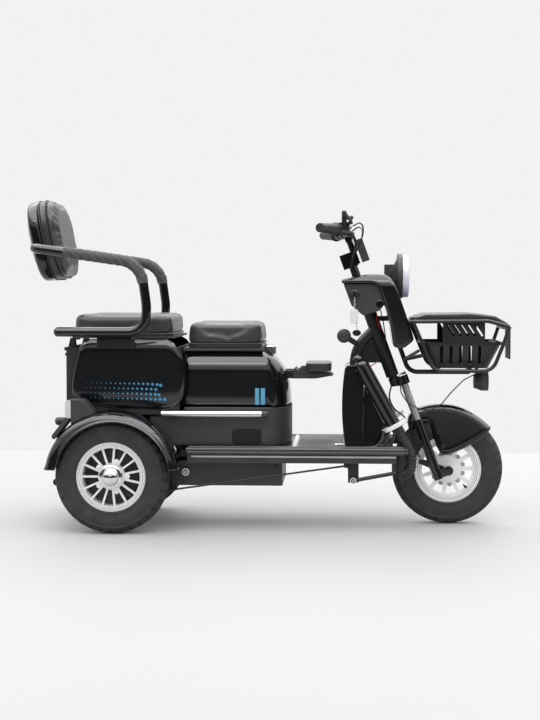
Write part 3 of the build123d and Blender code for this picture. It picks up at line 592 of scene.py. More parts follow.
# %% Routes and skins
def route(points, radii, step):
    """Even stops, in metres, along runs of drawing points joined by arcs."""
    spots = [at(*point) for point in points]
    line = [spots[0]]
    for before, corner, after, radius in zip(spots, spots[1:], spots[2:], radii):
        inward, outgoing = (corner - before).normalized(), (after - corner).normalized()
        turn = inward.angle(outgoing)
        start = corner - inward * (radius / 1000 * sin(turn / 2) / cos(turn / 2))
        centre = start + (outgoing - inward * cos(turn)).normalized() * radius / 1000
        axis = inward.cross(outgoing)
        line += [Matrix.Rotation(turn * n / 12, 3, axis) @ (start - centre) + centre for n in range(13)]
    line.append(spots[-1])
    lengths = [(b - a).length for a, b in zip(line, line[1:])]
    count = max(2, round(sum(lengths) / (step / 1000)))
    stops, walked, leg = [], 0.0, 0
    for number in range(count + 1):
        goal = sum(lengths) * number / count
        while leg < len(lengths) - 1 and walked + lengths[leg] < goal:
            walked += lengths[leg]
            leg += 1
        share = min(1.0, (goal - walked) / max(lengths[leg], 1e-9))
        stops.append(line[leg].lerp(line[leg + 1], share))
    return stops


def round_turn(count):
    """Evenly spaced angles of one whole turn."""
    return [2 * pi * n / count for n in range(count)]


def skin(bm, stops, radii, sides=20, closed=False):
    """Tube through the stops; radii in millimetres, one for all or one for each."""
    radii = [radii] * len(stops) if isinstance(radii, (int, float)) else radii
    rings, upward = [], Vector((0.13, 0.31, 0.94))
    for number, (stop, radius) in enumerate(zip(stops, radii)):
        ahead = stops[(number + 1) % len(stops)] if closed else stops[min(number + 1, len(stops) - 1)]
        behind = stops[number - 1] if closed else stops[max(number - 1, 0)]
        along = (ahead - behind).normalized()
        upward = (upward - along * upward.dot(along)).normalized()
        across = along.cross(upward)
        rings.append([bm.verts.new(stop + (upward * cos(a) + across * sin(a)) * radius / 1000)
                      for a in round_turn(sides)])
    for one, two in zip(rings, rings[1:] + (rings[:1] if closed else [])):
        bridge(bm, one, two)
    if not closed:
        bm.faces.new(rings[0])
        bm.faces.new(rings[-1])


# %% Pressed sheets
def pressed(points, corners, y_rim, roll, rise, wall, cell=5.0):
    """Right-hand sheet from a side outline. Its rim stands at y_rim and rolls outwards over
    roll millimetres to stand rise higher; wall is the y that the rim's edge is drawn in to."""
    flat = bmesh.new()
    corner_spots = [v.co for v in outline_face(flat, points, 0, corners).verts]
    rim = []
    for a, b in zip(corner_spots, corner_spots[1:] + corner_spots[:1]):
        count = max(1, round((b - a).length * 1000 / cell))
        rim += [Vector((a.x, a.z)).lerp(Vector((b.x, b.z)), n / count) for n in range(count)]
    flat.free()
    after_each = rim[1:] + rim[:1]
    turn = 1 if sum(a.x * b.y - b.x * a.y for a, b in zip(rim, after_each)) > 0 else -1
    fine = KDTree(4 * len(rim))
    for n, (a, b) in enumerate(zip(rim, after_each)):
        for quarter in range(4):
            fine.insert((*a.lerp(b, quarter / 4), 0), 4 * n + quarter)
    fine.balance()

    def depth_of(spot):
        return fine.find((spot.x, spot.y, 0))[2] * 1000

    spots = list(rim)
    for angle in (14, 26, 38, 50, 63, 76, 90):
        inset = roll * (1 - cos(radians(angle)))
        for before, here, after in zip(rim[-1:] + rim[:-1], rim, after_each):
            along = (after - before).normalized()
            inner = here + Vector((-along.y, along.x)) * turn * inset / 1000
            if depth_of(inner) > 0.93 * inset:
                spots.append(inner)
    low_x, low_z = min(v.x for v in rim), min(v.y for v in rim)
    step = cell / 1000
    for i in range(int((max(v.x for v in rim) - low_x) / step)):
        for j in range(int((max(v.y for v in rim) - low_z) / step)):
            spot = Vector((low_x + (i + 0.5 * (j % 2) + 0.3) * step, low_z + (j + 0.5) * step))
            if depth_of(spot) > roll + 0.6 * cell:
                spots.append(spot)
    found, _, faces, *_ = delaunay_2d_cdt(spots, [], [list(range(len(rim)))[::turn]], 1, 1e-7)
    bm = bmesh.new()
    verts = []
    for spot in found:
        height = rise * sqrt(max(0.0, 1 - (1 - min(1.0, depth_of(spot) / roll)) ** 2))
        verts.append(bm.verts.new((spot.x, (y_rim - height) / 1000, spot.y)))
    for face in faces:
        bm.faces.new([verts[n] for n in face])
    bmesh.ops.delete(bm, geom=[v for v in bm.verts if not v.link_faces], context="VERTS")
    rims = [e for e in bm.edges if e.is_boundary]
    for vert in verts_in(bmesh.ops.extrude_edge_only(bm, edges=rims)["geom"]):
        vert.co.y = wall / 1000
    face_out(bm, 1, -1)
    return bm


def face_out(bm, axis, sign):
    """Agrees the normals, then turns them all so that the farthest face along an axis looks that way."""
    outward(bm)
    farthest = max(bm.faces, key=lambda f: f.calc_center_median()[axis] * sign)
    if farthest.normal[axis] * sign < 0:
        bmesh.ops.reverse_faces(bm, faces=bm.faces[:])


print("large tools ready")

# %% [markdown]
# ## Tyres
# The section of a tyre is one closed line, so it is spun about the axle. A 33-block shoulder
# comes from picking every fourth column of faces near the edge of the tread and sinking it,
# which costs far fewer faces than modelling blocks.

# %% Tyres
TYRE_LINE = [(100, 20), (101, 27), (106, 31.5), (112, 35.6), (114, 35), (124, 38.4), (138, 40), (150, 39.2),
             (156, 38.4), (157.5, 39.2), (160, 37.6), (166, 34), (171, 28.6), (174.6, 22), (176, 15.5),
             (173.6, 14.6), (173.8, 12.2), (177, 11.2), (177.9, 5.2), (175.4, 4.2), (175.5, 2)]
BLOCKS = 33
SHOULDER, SHOULDER_WIDTH = (161, 176.8), 14.5  # where the blocks are cut: radius, and distance from the middle


def tyre(node, body):
    low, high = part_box(node)
    centre = (Vector(low) + Vector(high)) / 2
    bm = bmesh.new()
    lathe(bm, TYRE_LINE + [(r, -y) for r, y in reversed(TYRE_LINE)] + TYRE_LINE[:1], centre, (0, 1, 0), 4 * BLOCKS)
    bmesh.ops.remove_doubles(bm, verts=bm.verts[:], dist=0.00002)
    outward(bm)
    cuts = []
    for face in bm.faces:
        spot = (face.calc_center_median() - centre) * 1000
        column = int((atan2(spot.z, spot.x) + pi) / (2 * pi) * 4 * BLOCKS)
        on_shoulder = SHOULDER[0] < sqrt(spot.x ** 2 + spot.z ** 2) < SHOULDER[1] and abs(spot.y) > SHOULDER_WIDTH
        if on_shoulder and column % 4 == (0 if spot.y < 0 else 2):
            cuts.append(face)
    bmesh.ops.inset_region(bm, faces=cuts, thickness=0.0009, depth=-0.0038, use_even_offset=True)
    print(piece(node + "_tread", bm, rubber, body, stands_for=node).name, "with", BLOCKS, "shoulder blocks")


for node, body in (("rear_tyre_left", "rear_wheel_left"), ("rear_tyre_right", "rear_wheel_right"),
                   ("front_tyre", "front_wheel")):
    tyre(node, body)

# %% [markdown]
# Each rear wheel wears a chrome cap over its axle nut and five lug bosses between the
# spokes. The cap is a spun dome. One boss is modelled, and repeated round the axle.

# %% Wheel caps, lug nuts and valve stems
CAP_LINE = [(36.5, 30), (37, 36), (34, 37.5), (33.5, 39.5), (26.5, 41), (25.5, 46.5),
            (22, 51.5), (14, 55), (0.1, 56.5)]
LUG_LINE = [(0.1, 6), (4, 6), (4.5, 0.5), (8.5, 0.5), (9.5, -1), (9.5, -12)]
REAR_WHEELS = ((1, "rear_wheel_left"), (-1, "rear_wheel_right"))
for side, body in REAR_WHEELS:
    hub, out = at(-476, 255 * side, 178), Vector((0, side, 0))
    cap = bmesh.new()
    lathe(cap, CAP_LINE, hub, out, 48)
    piece("hub_cap", cap, chrome, body)
    lugs = bmesh.new()
    spot = hub + Vector((0.047, 0.022 * side, 0))
    lathe(lugs, LUG_LINE, spot, out, 20)
    rod(lugs, spot - out * 0.004, spot + out * 0.008, 4.6, sides=6)
    bmesh.ops.spin(lugs, geom=whole(lugs), cent=hub, axis=(0, 1, 0), angle=2 * pi * 4 / 5, steps=4,
                   use_duplicate=True)
    piece("lug_nuts", lugs, wheel_paint, body, bevel=0.4)

for name, x, y, face_y, body in (("rear_left", -476, 255, 27, "rear_wheel_left"),
                                 ("rear_right", -476, -255, -27, "rear_wheel_right"),
                                 ("front", 574, 0, -24, "front_wheel")):
    stem = bmesh.new()
    foot = at(x + 62, y + face_y * 0.55, 116)
    middle = foot + Vector((-0.006, face_y / 1800, 0.006))
    rod(stem, foot, middle, 4.5, 4, 14)
    rod(stem, middle, foot + Vector((-0.011, face_y / 1100, 0.011)), 2.8, 2.6, 12)
    piece("valve_stem_" + name, stem, grip_rubber, body)
print("wheel caps, lug nuts and valve stems")

# %% [markdown]
# ## Cushions
# A cushion is foam that pushes a leather cover outwards until the seams hold it. Blender's
# cloth can do the same: the closed cover is remeshed to even squares, inflated for twenty
# frames with gravity off, and each point's travel is capped. Piping and seams are laid on
# afterwards, because the remesh would wipe them out.

# %% Stuffing a cover
PRESSURE, FRAMES = 4, 20


def stuffed(bm, voxel, travel, hold):
    """Inflated copy of a closed cover, no point moving more than travel millimetres."""
    mesh = bpy.data.meshes.new("cover")
    bm.to_mesh(mesh)
    bm.free()
    cover = placed("cover", mesh)
    even = even_squares(cover, voxel)
    relax(even)
    even.to_mesh(mesh)
    even.free()
    start = [v.co.copy() for v in mesh.vertices]
    held = cover.vertex_groups.new(name="held")
    held.add([n for n, co in enumerate(start) if hold(co)], 1.0, "REPLACE")
    cloth = cover.modifiers.new("cloth", "CLOTH")
    cloth.settings.use_pressure, cloth.settings.uniform_pressure_force = True, PRESSURE
    cloth.settings.effector_weights.gravity = 0
    cloth.settings.vertex_group_mass = "held"
    cloth.point_cache.frame_start, cloth.point_cache.frame_end = 1, FRAMES
    for frame_number in range(1, FRAMES + 1):
        bpy.context.scene.frame_set(frame_number)
    swollen = evaluated_bmesh(cover)
    moves = [v.co - was for v, was in zip(swollen.verts, start)]
    swollen.free()
    cover.modifiers.clear()
    bpy.context.scene.frame_set(1)
    for vert, was, move in zip(mesh.vertices, start, moves):
        vert.co = was + move * min(1, travel / 1000 / max(move.length, 1e-9))
    longest = max(move.length for move in moves)
    print("  swelled up to", round(longest * 1000, 1), "mm, kept to", travel)
    out = bmesh.new()
    out.from_mesh(mesh)
    bpy.data.objects.remove(cover)
    return out


def cushion(name, bm, node, body):
    relax(bm)
    made = piece(name, bm, leather, body, subdivide=1, tidy=False, stands_for=node)


def ring_path(low, high, z, corner):
    """Stops round a rounded rectangle in plan, for piping round a cushion."""
    (x0, y0), (x1, y1) = low, high
    middles = [(x1 - corner, y1 - corner, 0), (x0 + corner, y1 - corner, 90),
               (x0 + corner, y0 + corner, 180), (x1 - corner, y0 + corner, 270)]
    return [at(cx + corner * cos(radians(a + turn)), cy + corner * sin(radians(a + turn)), z)
            for cx, cy, a in middles for turn in range(0, 91, 10)]


# %% Front and rear seats
front_pad = soft_box(at(-252, -151, 584), at(-18, 151, 648), 2, 36, 9, 14)
cushion("front_seat_cover", stuffed(front_pad, 5, 4, lambda co: co.z < 0.588), "front_seat_cushion", "front_seat")
rear_pad = soft_box(at(-612, -181, 616), at(-297, 181, 674), 2, 38, 9, 17)
cushion("rear_seat_cover", stuffed(rear_pad, 5.5, 4, lambda co: co.z < 0.620), "rear_seat_cushion", "rear_seat")

for seat, low, high in (("front_seat", (-252, -151, 572.6), (-18, 151, 585)),
                        ("rear_seat", (-611, -180, 609.4), (-298, 180, 617))):
    band = soft_box(at(*low), at(*high), 2, 35, 8)
    piece(seat + "_welt", band, leather, seat, bevel=2.5, segments=3)
    piping = bmesh.new()
    stops = ring_path((low[0] - 1, low[1] - 1), (high[0] + 1, high[1] + 1), high[2], 36)
    skin(piping, stops, 1.7, 10, closed=True)
    piece(seat + "_piping", piping, leather, seat)
print("two seats with their welts and piping")

# %% [markdown]
# The backrest leans back by 11 degrees, so it is drawn upright at its own centre and leaned
# over at the end. Its cushion has two borders: a wide side band next to the shell and a
# softer front. The shell's back is a low dome of seven rounded rings.

# %% Backrest
LEAN = (Matrix.Translation(at(-701, 0, 904)) @ Matrix.Rotation(radians(-11.2), 4, "Y")
        @ Matrix.Translation((0, 0, 0.010)))
UPRIGHT = LEAN.inverted()
BACK_CORNER = 88


def upright_slab(half_y, half_z, thick_from, thick_to, rounding):
    """Rounded rectangle standing across the vehicle, its thickness along X."""
    low = Vector((thick_from / 1000, -half_y / 1000, -half_z / 1000))
    high = Vector((thick_to / 1000, half_y / 1000, half_z / 1000))
    return soft_box(low, high, 0, BACK_CORNER, 14, rounding)


def leaned(bm):
    bmesh.ops.transform(bm, matrix=LEAN, verts=bm.verts[:])
    return bm


def upright_ring(half_y, half_z, depth, corner=BACK_CORNER):
    """Stops round an upright rounded rectangle, depth ahead of the backrest's seam."""
    return [Vector((depth / 1000, spot.x - STATION_SHIFT / 1000, spot.y))
            for spot in ring_path((-half_y, -half_z), (half_y, half_z), 0, corner)]


piece("backrest_band", leaned(upright_slab(157, 126, -4, 16, 4)), leather)
front_slab = stuffed(leaned(upright_slab(155.5, 124.5, 12, 40, 15)), 5, 6, lambda co: (UPRIGHT @ co).x < 0.018)
cushion("backrest_cover", front_slab, "backrest_cushion", "frame")
for name, finish, ring, radius in (("backrest_piping", leather, (157, 126, 14), 2.2),
                                   ("backrest_rear_piping", grip_rubber, (158, 127, -5.5), 2.4)):
    piping = bmesh.new()
    skin(piping, [LEAN @ spot for spot in upright_ring(*ring)], radius, 10, closed=True)
    piece(name, piping, finish)

shell = upright_slab(158.5, 127.5, -46, -6, 16)
rings = []
for inset, depth in ((0, -44), (14, -46), (22, -51), (34, -56), (52, -60.5), (72, -63.5), (86, -64.5)):
    stops = upright_ring(144 - inset, 113 - inset, depth, max(4, 76 - 0.8 * inset))
    rings.append([shell.verts.new(spot) for spot in stops])
for outer, inner in zip(rings, rings[1:]):
    bridge(shell, outer, inner)
shell.faces.new(rings[-1])
shell.faces.new(rings[0][::-1])
outward(shell)
shell = piece("backrest_back", leaned(shell), gloss, corner=50, stands_for="backrest_shell")
print("backrest", [round(v, 3) for v in shell.dimensions])

# %% [markdown]
# The armrests are wrapped in a spiral of soft tape. Each turn laps over the one before, so
# the wrapped tube is a row of shallow steps: the radius runs down along a turn and jumps back
# up at the next one. The bare ends of the tubes get a domed plug.

# %% Armrest tape and ends
LAP = 16
stops = route([(-627, -242, 871.1), (-590, -242, 866), (-388, -242, 837), (-380.4, -242, 775)], [200, 78], 1.5)
wraps = bmesh.new()
skin(wraps, stops, [18.2 - 1.7 * (number % LAP) / LAP for number in range(len(stops))], 28)
both_sides(wraps)
wraps = piece("armrest_tape", wraps, tape, corner=30, stands_for="armrest_wraps")

plugs, brackets, heads = (bmesh.new() for _ in range(3))
for side in (-1, 1):
    ball(plugs, (-648, 242 * side, 624), 14.9, (0.8, 1, 1))
    ball(plugs, (-722, 161 * side, 884), 17, (1, 0.5, 1))
    block(brackets, (-531, 207.5 * side - 4.5, 570.5), (-411, 207.5 * side + 4.5, 603))
    for x in (-516, -435):
        rod(heads, (x, 211 * side, 588), (x, 217 * side, 588), 5.2, sides=6)
piece("armrest_plugs", plugs, gloss)
piece("armrest_brackets", brackets, coat, bevel=3, segments=3)
piece("armrest_bolts", heads, cast, bevel=0.7)
print("armrest tape", len(wraps.data.polygons), "faces")

# %% [markdown]
# ## Body panels
# Gloss panels on a scooter are never flat: they swell in the middle and roll over at the
# rims, and the highlights of the room run along those rolls. `pressed` gives the rim its
# tight roll. A short rule then leans the points near the top, foot and front inwards, which
# adds the wide, slow curves.

# %% Leaning, closing and walls
def rise_share(value, start, end):
    """0 up to start and 1 from end on, in a straight line between."""
    return max(0.0, min(1.0, (value - start) / (end - start)))


def lean_in(bm, rules):
    """Moves points sideways towards the middle: (axis, from, to, by) in millimetres, each
    rule growing as the square of the way from its start to its end."""
    for axis, start, end, by in rules:
        for vert in bm.verts:
            value = vert.co[axis] * 1000 - (STATION_SHIFT if axis == 0 else 0)
            vert.co.y += by / 1000 * rise_share(value, start, end) ** 2 * rise_share(-vert.co.y * 1000, 60, 150)


def close_half(bm):
    """Puts the open edge of a right half on the middle plane and adds the left half."""
    for vert in bm.verts:
        if abs(vert.co.y) < 0.0002:
            vert.co.y = 0
    both_sides(bm)
    bmesh.ops.remove_doubles(bm, verts=bm.verts[:], dist=0.0001)
    face_out(bm, 2, 1)


ROUND_FROM, HALF_WIDTH, ROUND_POWER = -20, 174, 2.7


def round_front(bm):
    """Bends the flat front of the seat boxes into a shallow oval in plan."""
    for vert in bm.verts:
        ahead_of = vert.co.x * 1000 - STATION_SHIFT - ROUND_FROM
        if ahead_of > 0:
            wide = min(1, abs(vert.co.y) * 1000 / HALF_WIDTH)
            vert.co.x -= ahead_of / 1000 * (1 - sqrt(1 - wide ** ROUND_POWER))


def walled(made, thickness):
    wall = made.modifiers.new("wall", "SOLIDIFY")
    wall.thickness, wall.offset = thickness / 1000, -1


# %% Rear side panels
PANEL = [(-566, 601), (-299, 599), (-274, 563), (-260, 540), (-252, 456), (-268, 402), (-303, 377), (-520, 381),
         (-617, 415), (-620, 462), (-589, 581)]
panel = pressed(PANEL, [18, 22, 14, 20, 40, 34, 30, 50, 16, 40, 26], -189, 19, 13, -184.5)
lean_in(panel, [(2, 455, 378, 13), (2, 560, 601, 8), (0, -330, -256, 13), (0, -560, -620, 8)])
for vert in panel.verts:
    vert.co.y = min(vert.co.y, -0.1845)
both_sides(panel)
panels = piece("rear_side_panel", panel, gloss, corner=60, stands_for="rear_side_panels")
print("rear side panels", len(panels.data.polygons), "faces")

# %% Front body shell
BODY = [(-268, 386.8), (71, 386.8), (70, 430), (62, 474), (44, 512), (16, 544), (-14, 560), (-60, 562), (-268, 562)]
body = pressed(BODY, [14, 10, 30, 30, 30, 30, 16, 10, 12], -160, 9, 9, 0)
lean_in(body, [(2, 496, 562, 34), (2, 430, 386, 7), (0, -225, -268, 8)])
across = [e for e in body.edges if abs((e.verts[0].co - e.verts[1].co).y) > 0.1]
bmesh.ops.subdivide_edges(body, edges=across, cuts=12, use_grid_fill=True)
round_front(body)
close_half(body)
shell = piece("front_body_shell", body, gloss, corner=60, stands_for="front_body")
hinge = bmesh.new()
for y in (-26, 26):
    block(hinge, (-11, y - 3.5, 547), (19, y + 3.5, 573))
rod(hinge, (10, -30, 568), (10, 30, 568), 3.5)
piece("front_seat_hinge", hinge, chrome, bevel=1.5)
softened("lower_body", 3.6, 2, trim, "lower_body_shell", reshape=round_front)
print("front body", [round(v, 3) for v in shell.dimensions])

# %% [markdown]
# ## Mudguards
# The rear mudguards are swept sheets, so one section is drawn at the rear end, spun over the
# wheel and squeezed from a circle to the real arch. The front one is a deep hood, drawn
# from the side and rolled over at its shoulders like the body panels.

# %% Rear mudguards
ARCH_X, ARCH_Z = 208 / 205, 202 / 205
GUARD_SECTION = [(198, 190), (203.6, 191.5), (205, 195), (205.3, 230), (205.3, 270), (204.6, 284), (202.4, 295),
                 (198.6, 304), (193.4, 310.5), (188.5, 314), (183.5, 316), (179.5, 317), (177.8, 319), (175.8, 320.2),
                 (173.8, 319.6), (173, 317.6), (173.6, 315)]
START, END = radians(6.5), radians(174)
hub = at(-476, 0, 178)
guard = bmesh.new()
ring = [guard.verts.new(hub + Vector((r * cos(START), y, r * sin(START))) / 1000) for r, y in GUARD_SECTION]
edges = [guard.edges.new(pair) for pair in zip(ring, ring[1:])]
bmesh.ops.spin(guard, geom=ring + edges, cent=hub, axis=(0, -1, 0), angle=END - START, steps=72, use_duplicate=False)
for vert in guard.verts:
    reach = (vert.co - hub) * 1000
    shift = 9 * rise_share(sqrt(reach.x ** 2 + reach.z ** 2), 196, 172)
    flare = 9 * rise_share(reach.z, 44, 14) ** 2 if reach.x < 0 else 0
    vert.co.x = hub.x + reach.x * ARCH_X / 1000 + (shift - flare) / 1000
    vert.co.z = hub.z + reach.z * ARCH_Z / 1000
bmesh.ops.bisect_plane(guard, geom=whole(guard), plane_co=at(0, 0, 201), plane_no=(0, 0, -1), clear_outer=True)
face_out(guard, 2, 1)
both_sides(guard)
for face in guard.faces:
    if face.calc_center_median().y < 0:
        face.normal_flip()
guards = piece("rear_mudguards", guard, gloss, corner=60, tidy=False, stands_for="rear_fenders")
walled(guards, 3)
print("rear mudguards", [round(v, 3) for v in guards.dimensions])

# %% Front mudguard
HOOD = [(450, 302), (445, 330), (450, 352), (466, 368), (489, 377), (516, 383), (544, 386), (572, 385.5), (599, 381.5),
        (622, 374), (644, 364), (666, 351), (688, 335), (713, 312), (703, 297), (661, 269), (615, 244), (574, 227),
        (553, 227), (540, 245), (524, 290), (508, 330), (476, 318)]
HOOD_CUTS = [8, 12, 14, 14, 14, 14, 14, 14, 14, 14, 14, 14, 12, 6, 5, 20, 20, 12, 10, 14, 20, 10, 10]
HOOD_FOOT = HOOD[:1] + HOOD[:13:-1]
hood = pressed(HOOD, HOOD_CUTS, -42, 17, 13, 0, cell=4)


def under_hood(face):
    """True for the faces of the hood's inner edge along its foot, where it is open."""
    middle = face.calc_center_median()
    if middle.y < -0.0419 or abs(face.normal.y) > 0.2:
        return False
    spot = Vector((middle.x * 1000 - STATION_SHIFT, middle.z * 1000))
    for start, end in zip(HOOD_FOOT, HOOD_FOOT[1:]):
        share = max(0.0, min(1.0, intersect_point_line(spot, start, end)[1]))
        if (Vector(start).lerp(Vector(end), share) - spot).length < 3.5:
            return True
    return False


bmesh.ops.delete(hood, context="FACES", geom=[face for face in hood.faces if under_hood(face)])
for vert in hood.verts:
    if vert.co.y < -0.02:
        vert.co.y += 0.021 * max(0.0, (vert.co.z - 0.24) / 0.146)
close_half(hood)
hood = piece("front_mudguard", hood, gloss, "steering", corner=60, tidy=False, stands_for="front_fender")
walled(hood, 3)
bead = bmesh.new()
stops = route([(555, -53, 228), (574, -53.4, 228.5), (615, -53.4, 245), (661, -53, 270), (702, -51, 297)],
              [30, 60, 60], 6)
skin(bead, stops, 2.2, 12)
both_sides(bead)
piece("mudguard_bead", bead, gloss, "steering")
print("front mudguard", [round(v, 3) for v in hood.dimensions])

# %% [markdown]
# ## Lamps
# The tail lamps sit on the mudguards: a grey wedge with a clear ribbed window at the back.
# The ribs are modelled, because at this size they catch the light one by one.

# %% Tail lamps
wedge = side_slab([(-599, 341), (-560, 361), (-527, 372), (-529, 381), (-557, 414), (-566, 417), (-599, 418)],
                  -294, [0, 0, 0, 4, 5, 3, 0], 60)
both_sides(wedge)
piece("tail_lamp_housing", wedge, trim, bevel=2.5, segments=3, stands_for="tail_lights")
window = side_slab([(-598, 360), (-598.5, 415), (-609, 416), (-616, 409), (-616, 366), (-611, 360)], -292,
                   [0, 0, 4, 3, 3, 3], 56)
for rib in range(13):
    z, y = 366 + rib * 3.6, -288 + rib * 4
    rod(window, (-612.5, -293, z), (-612.5, -235, z), 2.2, sides=10)
    rod(window, (-616, y, 367), (-616, y, 409), 1.3, sides=8)
both_sides(window)
piece("tail_lamp_window", window, tail_glass, bevel=1)

stubs, eyes = bmesh.new(), bmesh.new()
for y in (-205, 205):
    rod(stubs, (-633, y, 345), (-652, y, 343), 10, 12.5, 20)
    rod(stubs, (-652, y, 343), (-660, y, 342), 12.5, 12, 20)
    block(stubs, (-640, y * 190 / 205 - 6, 338), (-626, y * 190 / 205 + 6, 352))
    rod(eyes, (-659.5, y, 342), (-664, y, 341.6), 11.2, 8, 20)
piece("rear_reflector_stubs", stubs, trim, bevel=0.8)
piece("rear_reflectors", eyes, red_glass, bevel=0.8)

step_pad = side_slab([(-600, 361), (-616, 361), (-662, 302), (-652, 293)], -292, [3, 6, 8, 3], 84)
both_sides(step_pad)
piece("mudguard_steps", step_pad, trim, bevel=2.5, segments=3)
print("tail lamps, reflectors and steps")

# %% [markdown]
# ## Prints and plates
# The printed dots shrink towards the rear like a halftone, in four rows. They are thin
# discs dropped onto the panel by ray casting, so that they follow its swell. The two
# stripes on the body are laid on in the same way. The type plate is a blank slab.

# %% Halftone dots and stripes
ON_SIDE = Matrix.Rotation(pi / 2, 4, "X")


def lay_on(name, bm, finish, made):
    """Presses flat artwork sideways onto a panel, a hair proud of it, on both sides."""
    bpy.context.view_layer.update()
    panel_skin = BVHTree.FromObject(made, bpy.context.evaluated_depsgraph_get())
    for vert in bm.verts:
        hit = panel_skin.ray_cast(Vector((vert.co.x, -0.6, vert.co.z)), (0, 1, 0))[0]
        if hit:
            vert.co.y = hit.y - 0.00035
    both_sides(bm)
    return piece(name, bm, finish, tidy=False)


dots = bmesh.new()
for row, (x, z, count, straight) in enumerate(
        [(-561, 464, 17, 0.0), (-565, 448.3, 16, 0.3), (-567, 432.4, 17, 0.6), (-567, 416.5, 18, 1.0)]):
    for column in range(count):
        share = column / 17
        late = row < 3 and column > 15
        dip = 4.5 * share + (1 - straight) * 17 * max(0, share - 0.72) ** 1.3
        spot = at(x + column * 14.55 - 3 * late, -206, z - dip - late)
        bmesh.ops.create_circle(dots, cap_ends=True, segments=14, radius=(0.9 + 4.3 * share ** 1.25) / 1000,
                                matrix=Matrix.Translation(spot) @ ON_SIDE)
dots = lay_on("halftone_dots", dots, blue, panels)

stripes = bmesh.new()
for x0, x1 in ((-38, -25.5), (-20, -7)):
    bmesh.ops.create_grid(stripes, x_segments=4, y_segments=12, size=0.5,
                          matrix=Matrix.Translation(at((x0 + x1) / 2, -180, 420)) @ ON_SIDE
                          @ Matrix.Diagonal(((x1 - x0) / 1000, 0.0525, 1, 1)))
lay_on("body_stripes", stripes, pale_blue, shell)
print("dots", len(dots.data.polygons))

# %% Blank type plate
plate, screws = bmesh.new(), bmesh.new()
block(plate, (-110, -171.4, 264.5), (-18, -169, 319))
for x in (-106, -22):
    for z in (268.5, 315):
        rod(screws, (x, -170, z), (x, -172.6, z), 1.7, 1.3, 12)
piece("type_plate", plate, screen, bevel=0.6)
piece("type_plate_screws", screws, steel)
print("type plate, blank")

# %% [markdown]
# ## Cowl, shield and small mouldings
# The cowl is pressed like a body panel and then narrowed towards its foot. Mouldings whose
# CAD form is right but too crisp are remeshed and relaxed, which rounds their edges by the
# few millimetres that a real mould needs.

# %% Cowl
COWL = [(232, 788), (300, 801), (342, 807), (368, 803), (388, 792), (403, 768), (414, 738), (436, 676), (458, 612),
        (462, 594), (430, 568), (397, 572), (386, 640), (368, 709), (345, 774), (232, 774)]
cowl = pressed(COWL, [6, 0, 30, 20, 20, 20, 30, 0, 12, 12, 10, 10, 0, 30, 22, 6], -117, 9, 11, 0, cell=4)
lean_in(cowl, [(2, 742, 807, 24), (0, 385, 470, 10)])
for vert in cowl.verts:
    vert.co.y *= 1 - 0.246 * rise_share(vert.co.z, 0.768, 0.565)
close_half(cowl)
cowl = piece("cowl_shell", cowl, gloss, corner=55, stands_for="cowl")
liner = bmesh.new()
block(liner, (240, -103, 764), (352, 103, 779))
piece("cowl_liner", liner, gloss, bevel=3)

softened("cowl_panel", 1.8, 2, trim, "cowl_side_panels")
softened("leg_shield", 2.4, 3, gloss, "leg_shield_shell")
softened("headlight_housing", 2.4, 2, trim, "headlight_shell")
softened("child_seat", 2.4, 3, lid_plastic, "child_seat_pad", "child_seat")
softened("basket_lid", 2.8, 4, lid_plastic, "basket_lid_pad", "basket_lid")
print("cowl", len(cowl.data.polygons), "faces")

# %% Key switch, button and key ring
SIDE = Vector((0, -1, 0))
switch, button, chain, fob, tag = (bmesh.new() for _ in range(5))
lathe(switch, [(0.1, 13.5), (6, 13.5), (6.5, 11.5), (10.5, 11.5), (12, 10), (14.5, 9),
               (15.2, 2), (15.2, -2)], (273, -110, 741), SIDE, 32)
block(switch, (271.8, -134, 731), (274.2, -121, 748))
rod(switch, (273, -134, 739), (273, -142, 739), 8.5, 8, 20)
piece("key_switch", switch, coat, bevel=0.5)
lathe(button, [(0.1, 3.5), (9, 3.5), (9.8, 2.5), (11.5, 2.5), (12.8, 1.5), (13, -4)],
      (352, -110, 709), SIDE, 32)
piece("cowl_button", button, gloss)
for number in range(8):
    spot, turn = at(273, -140, 733 - 5.2 * number), Matrix.Rotation(pi / 2 * (number % 2), 4, "Z")
    link = [spot + turn @ Vector((0.0026 * cos(a), 0, 0.0036 * sin(a))) for a in round_turn(12)]
    skin(chain, link, 0.75, 8, closed=True)
piece("key_chain", chain, steel)
block(fob, (260, -144, 649), (284, -135, 693))
piece("key_fob", fob, white_plastic, bevel=4, segments=4)
rod(tag, (280, -139, 619), (280, -142, 619), 13.5, sides=32)
for vert in tag.verts:
    vert.co.z = 0.619 + (vert.co.z - 0.619) * 0.72
rod(tag, (279, -140.5, 650), (282, -140.5, 626), 0.9, sides=8)
piece("key_tag", tag, screen, bevel=0.6)
print("key ring")

# %% [markdown]
# ## Deck
# The footboard is a moulding with a rounded nose, low ribs for grip along its top and a
# bead where its two layers meet, painted light grey as its highlight. It has a notch ahead for the front wheel.

# %% Footboard
def plan_slab(points, z_low, z_high):
    """Flat plate between two heights from one side's (x, y) plan points, mirrored across."""
    bm = bmesh.new()
    face = bm.faces.new([bm.verts.new(at(x, y, z_low)) for x, y in points + [(x, -y) for x, y in reversed(points)]])
    made = bmesh.ops.extrude_face_region(bm, geom=[face])["geom"]
    bmesh.ops.translate(bm, verts=verts_in(made), vec=(0, 0, (z_high - z_low) / 1000))
    return bm


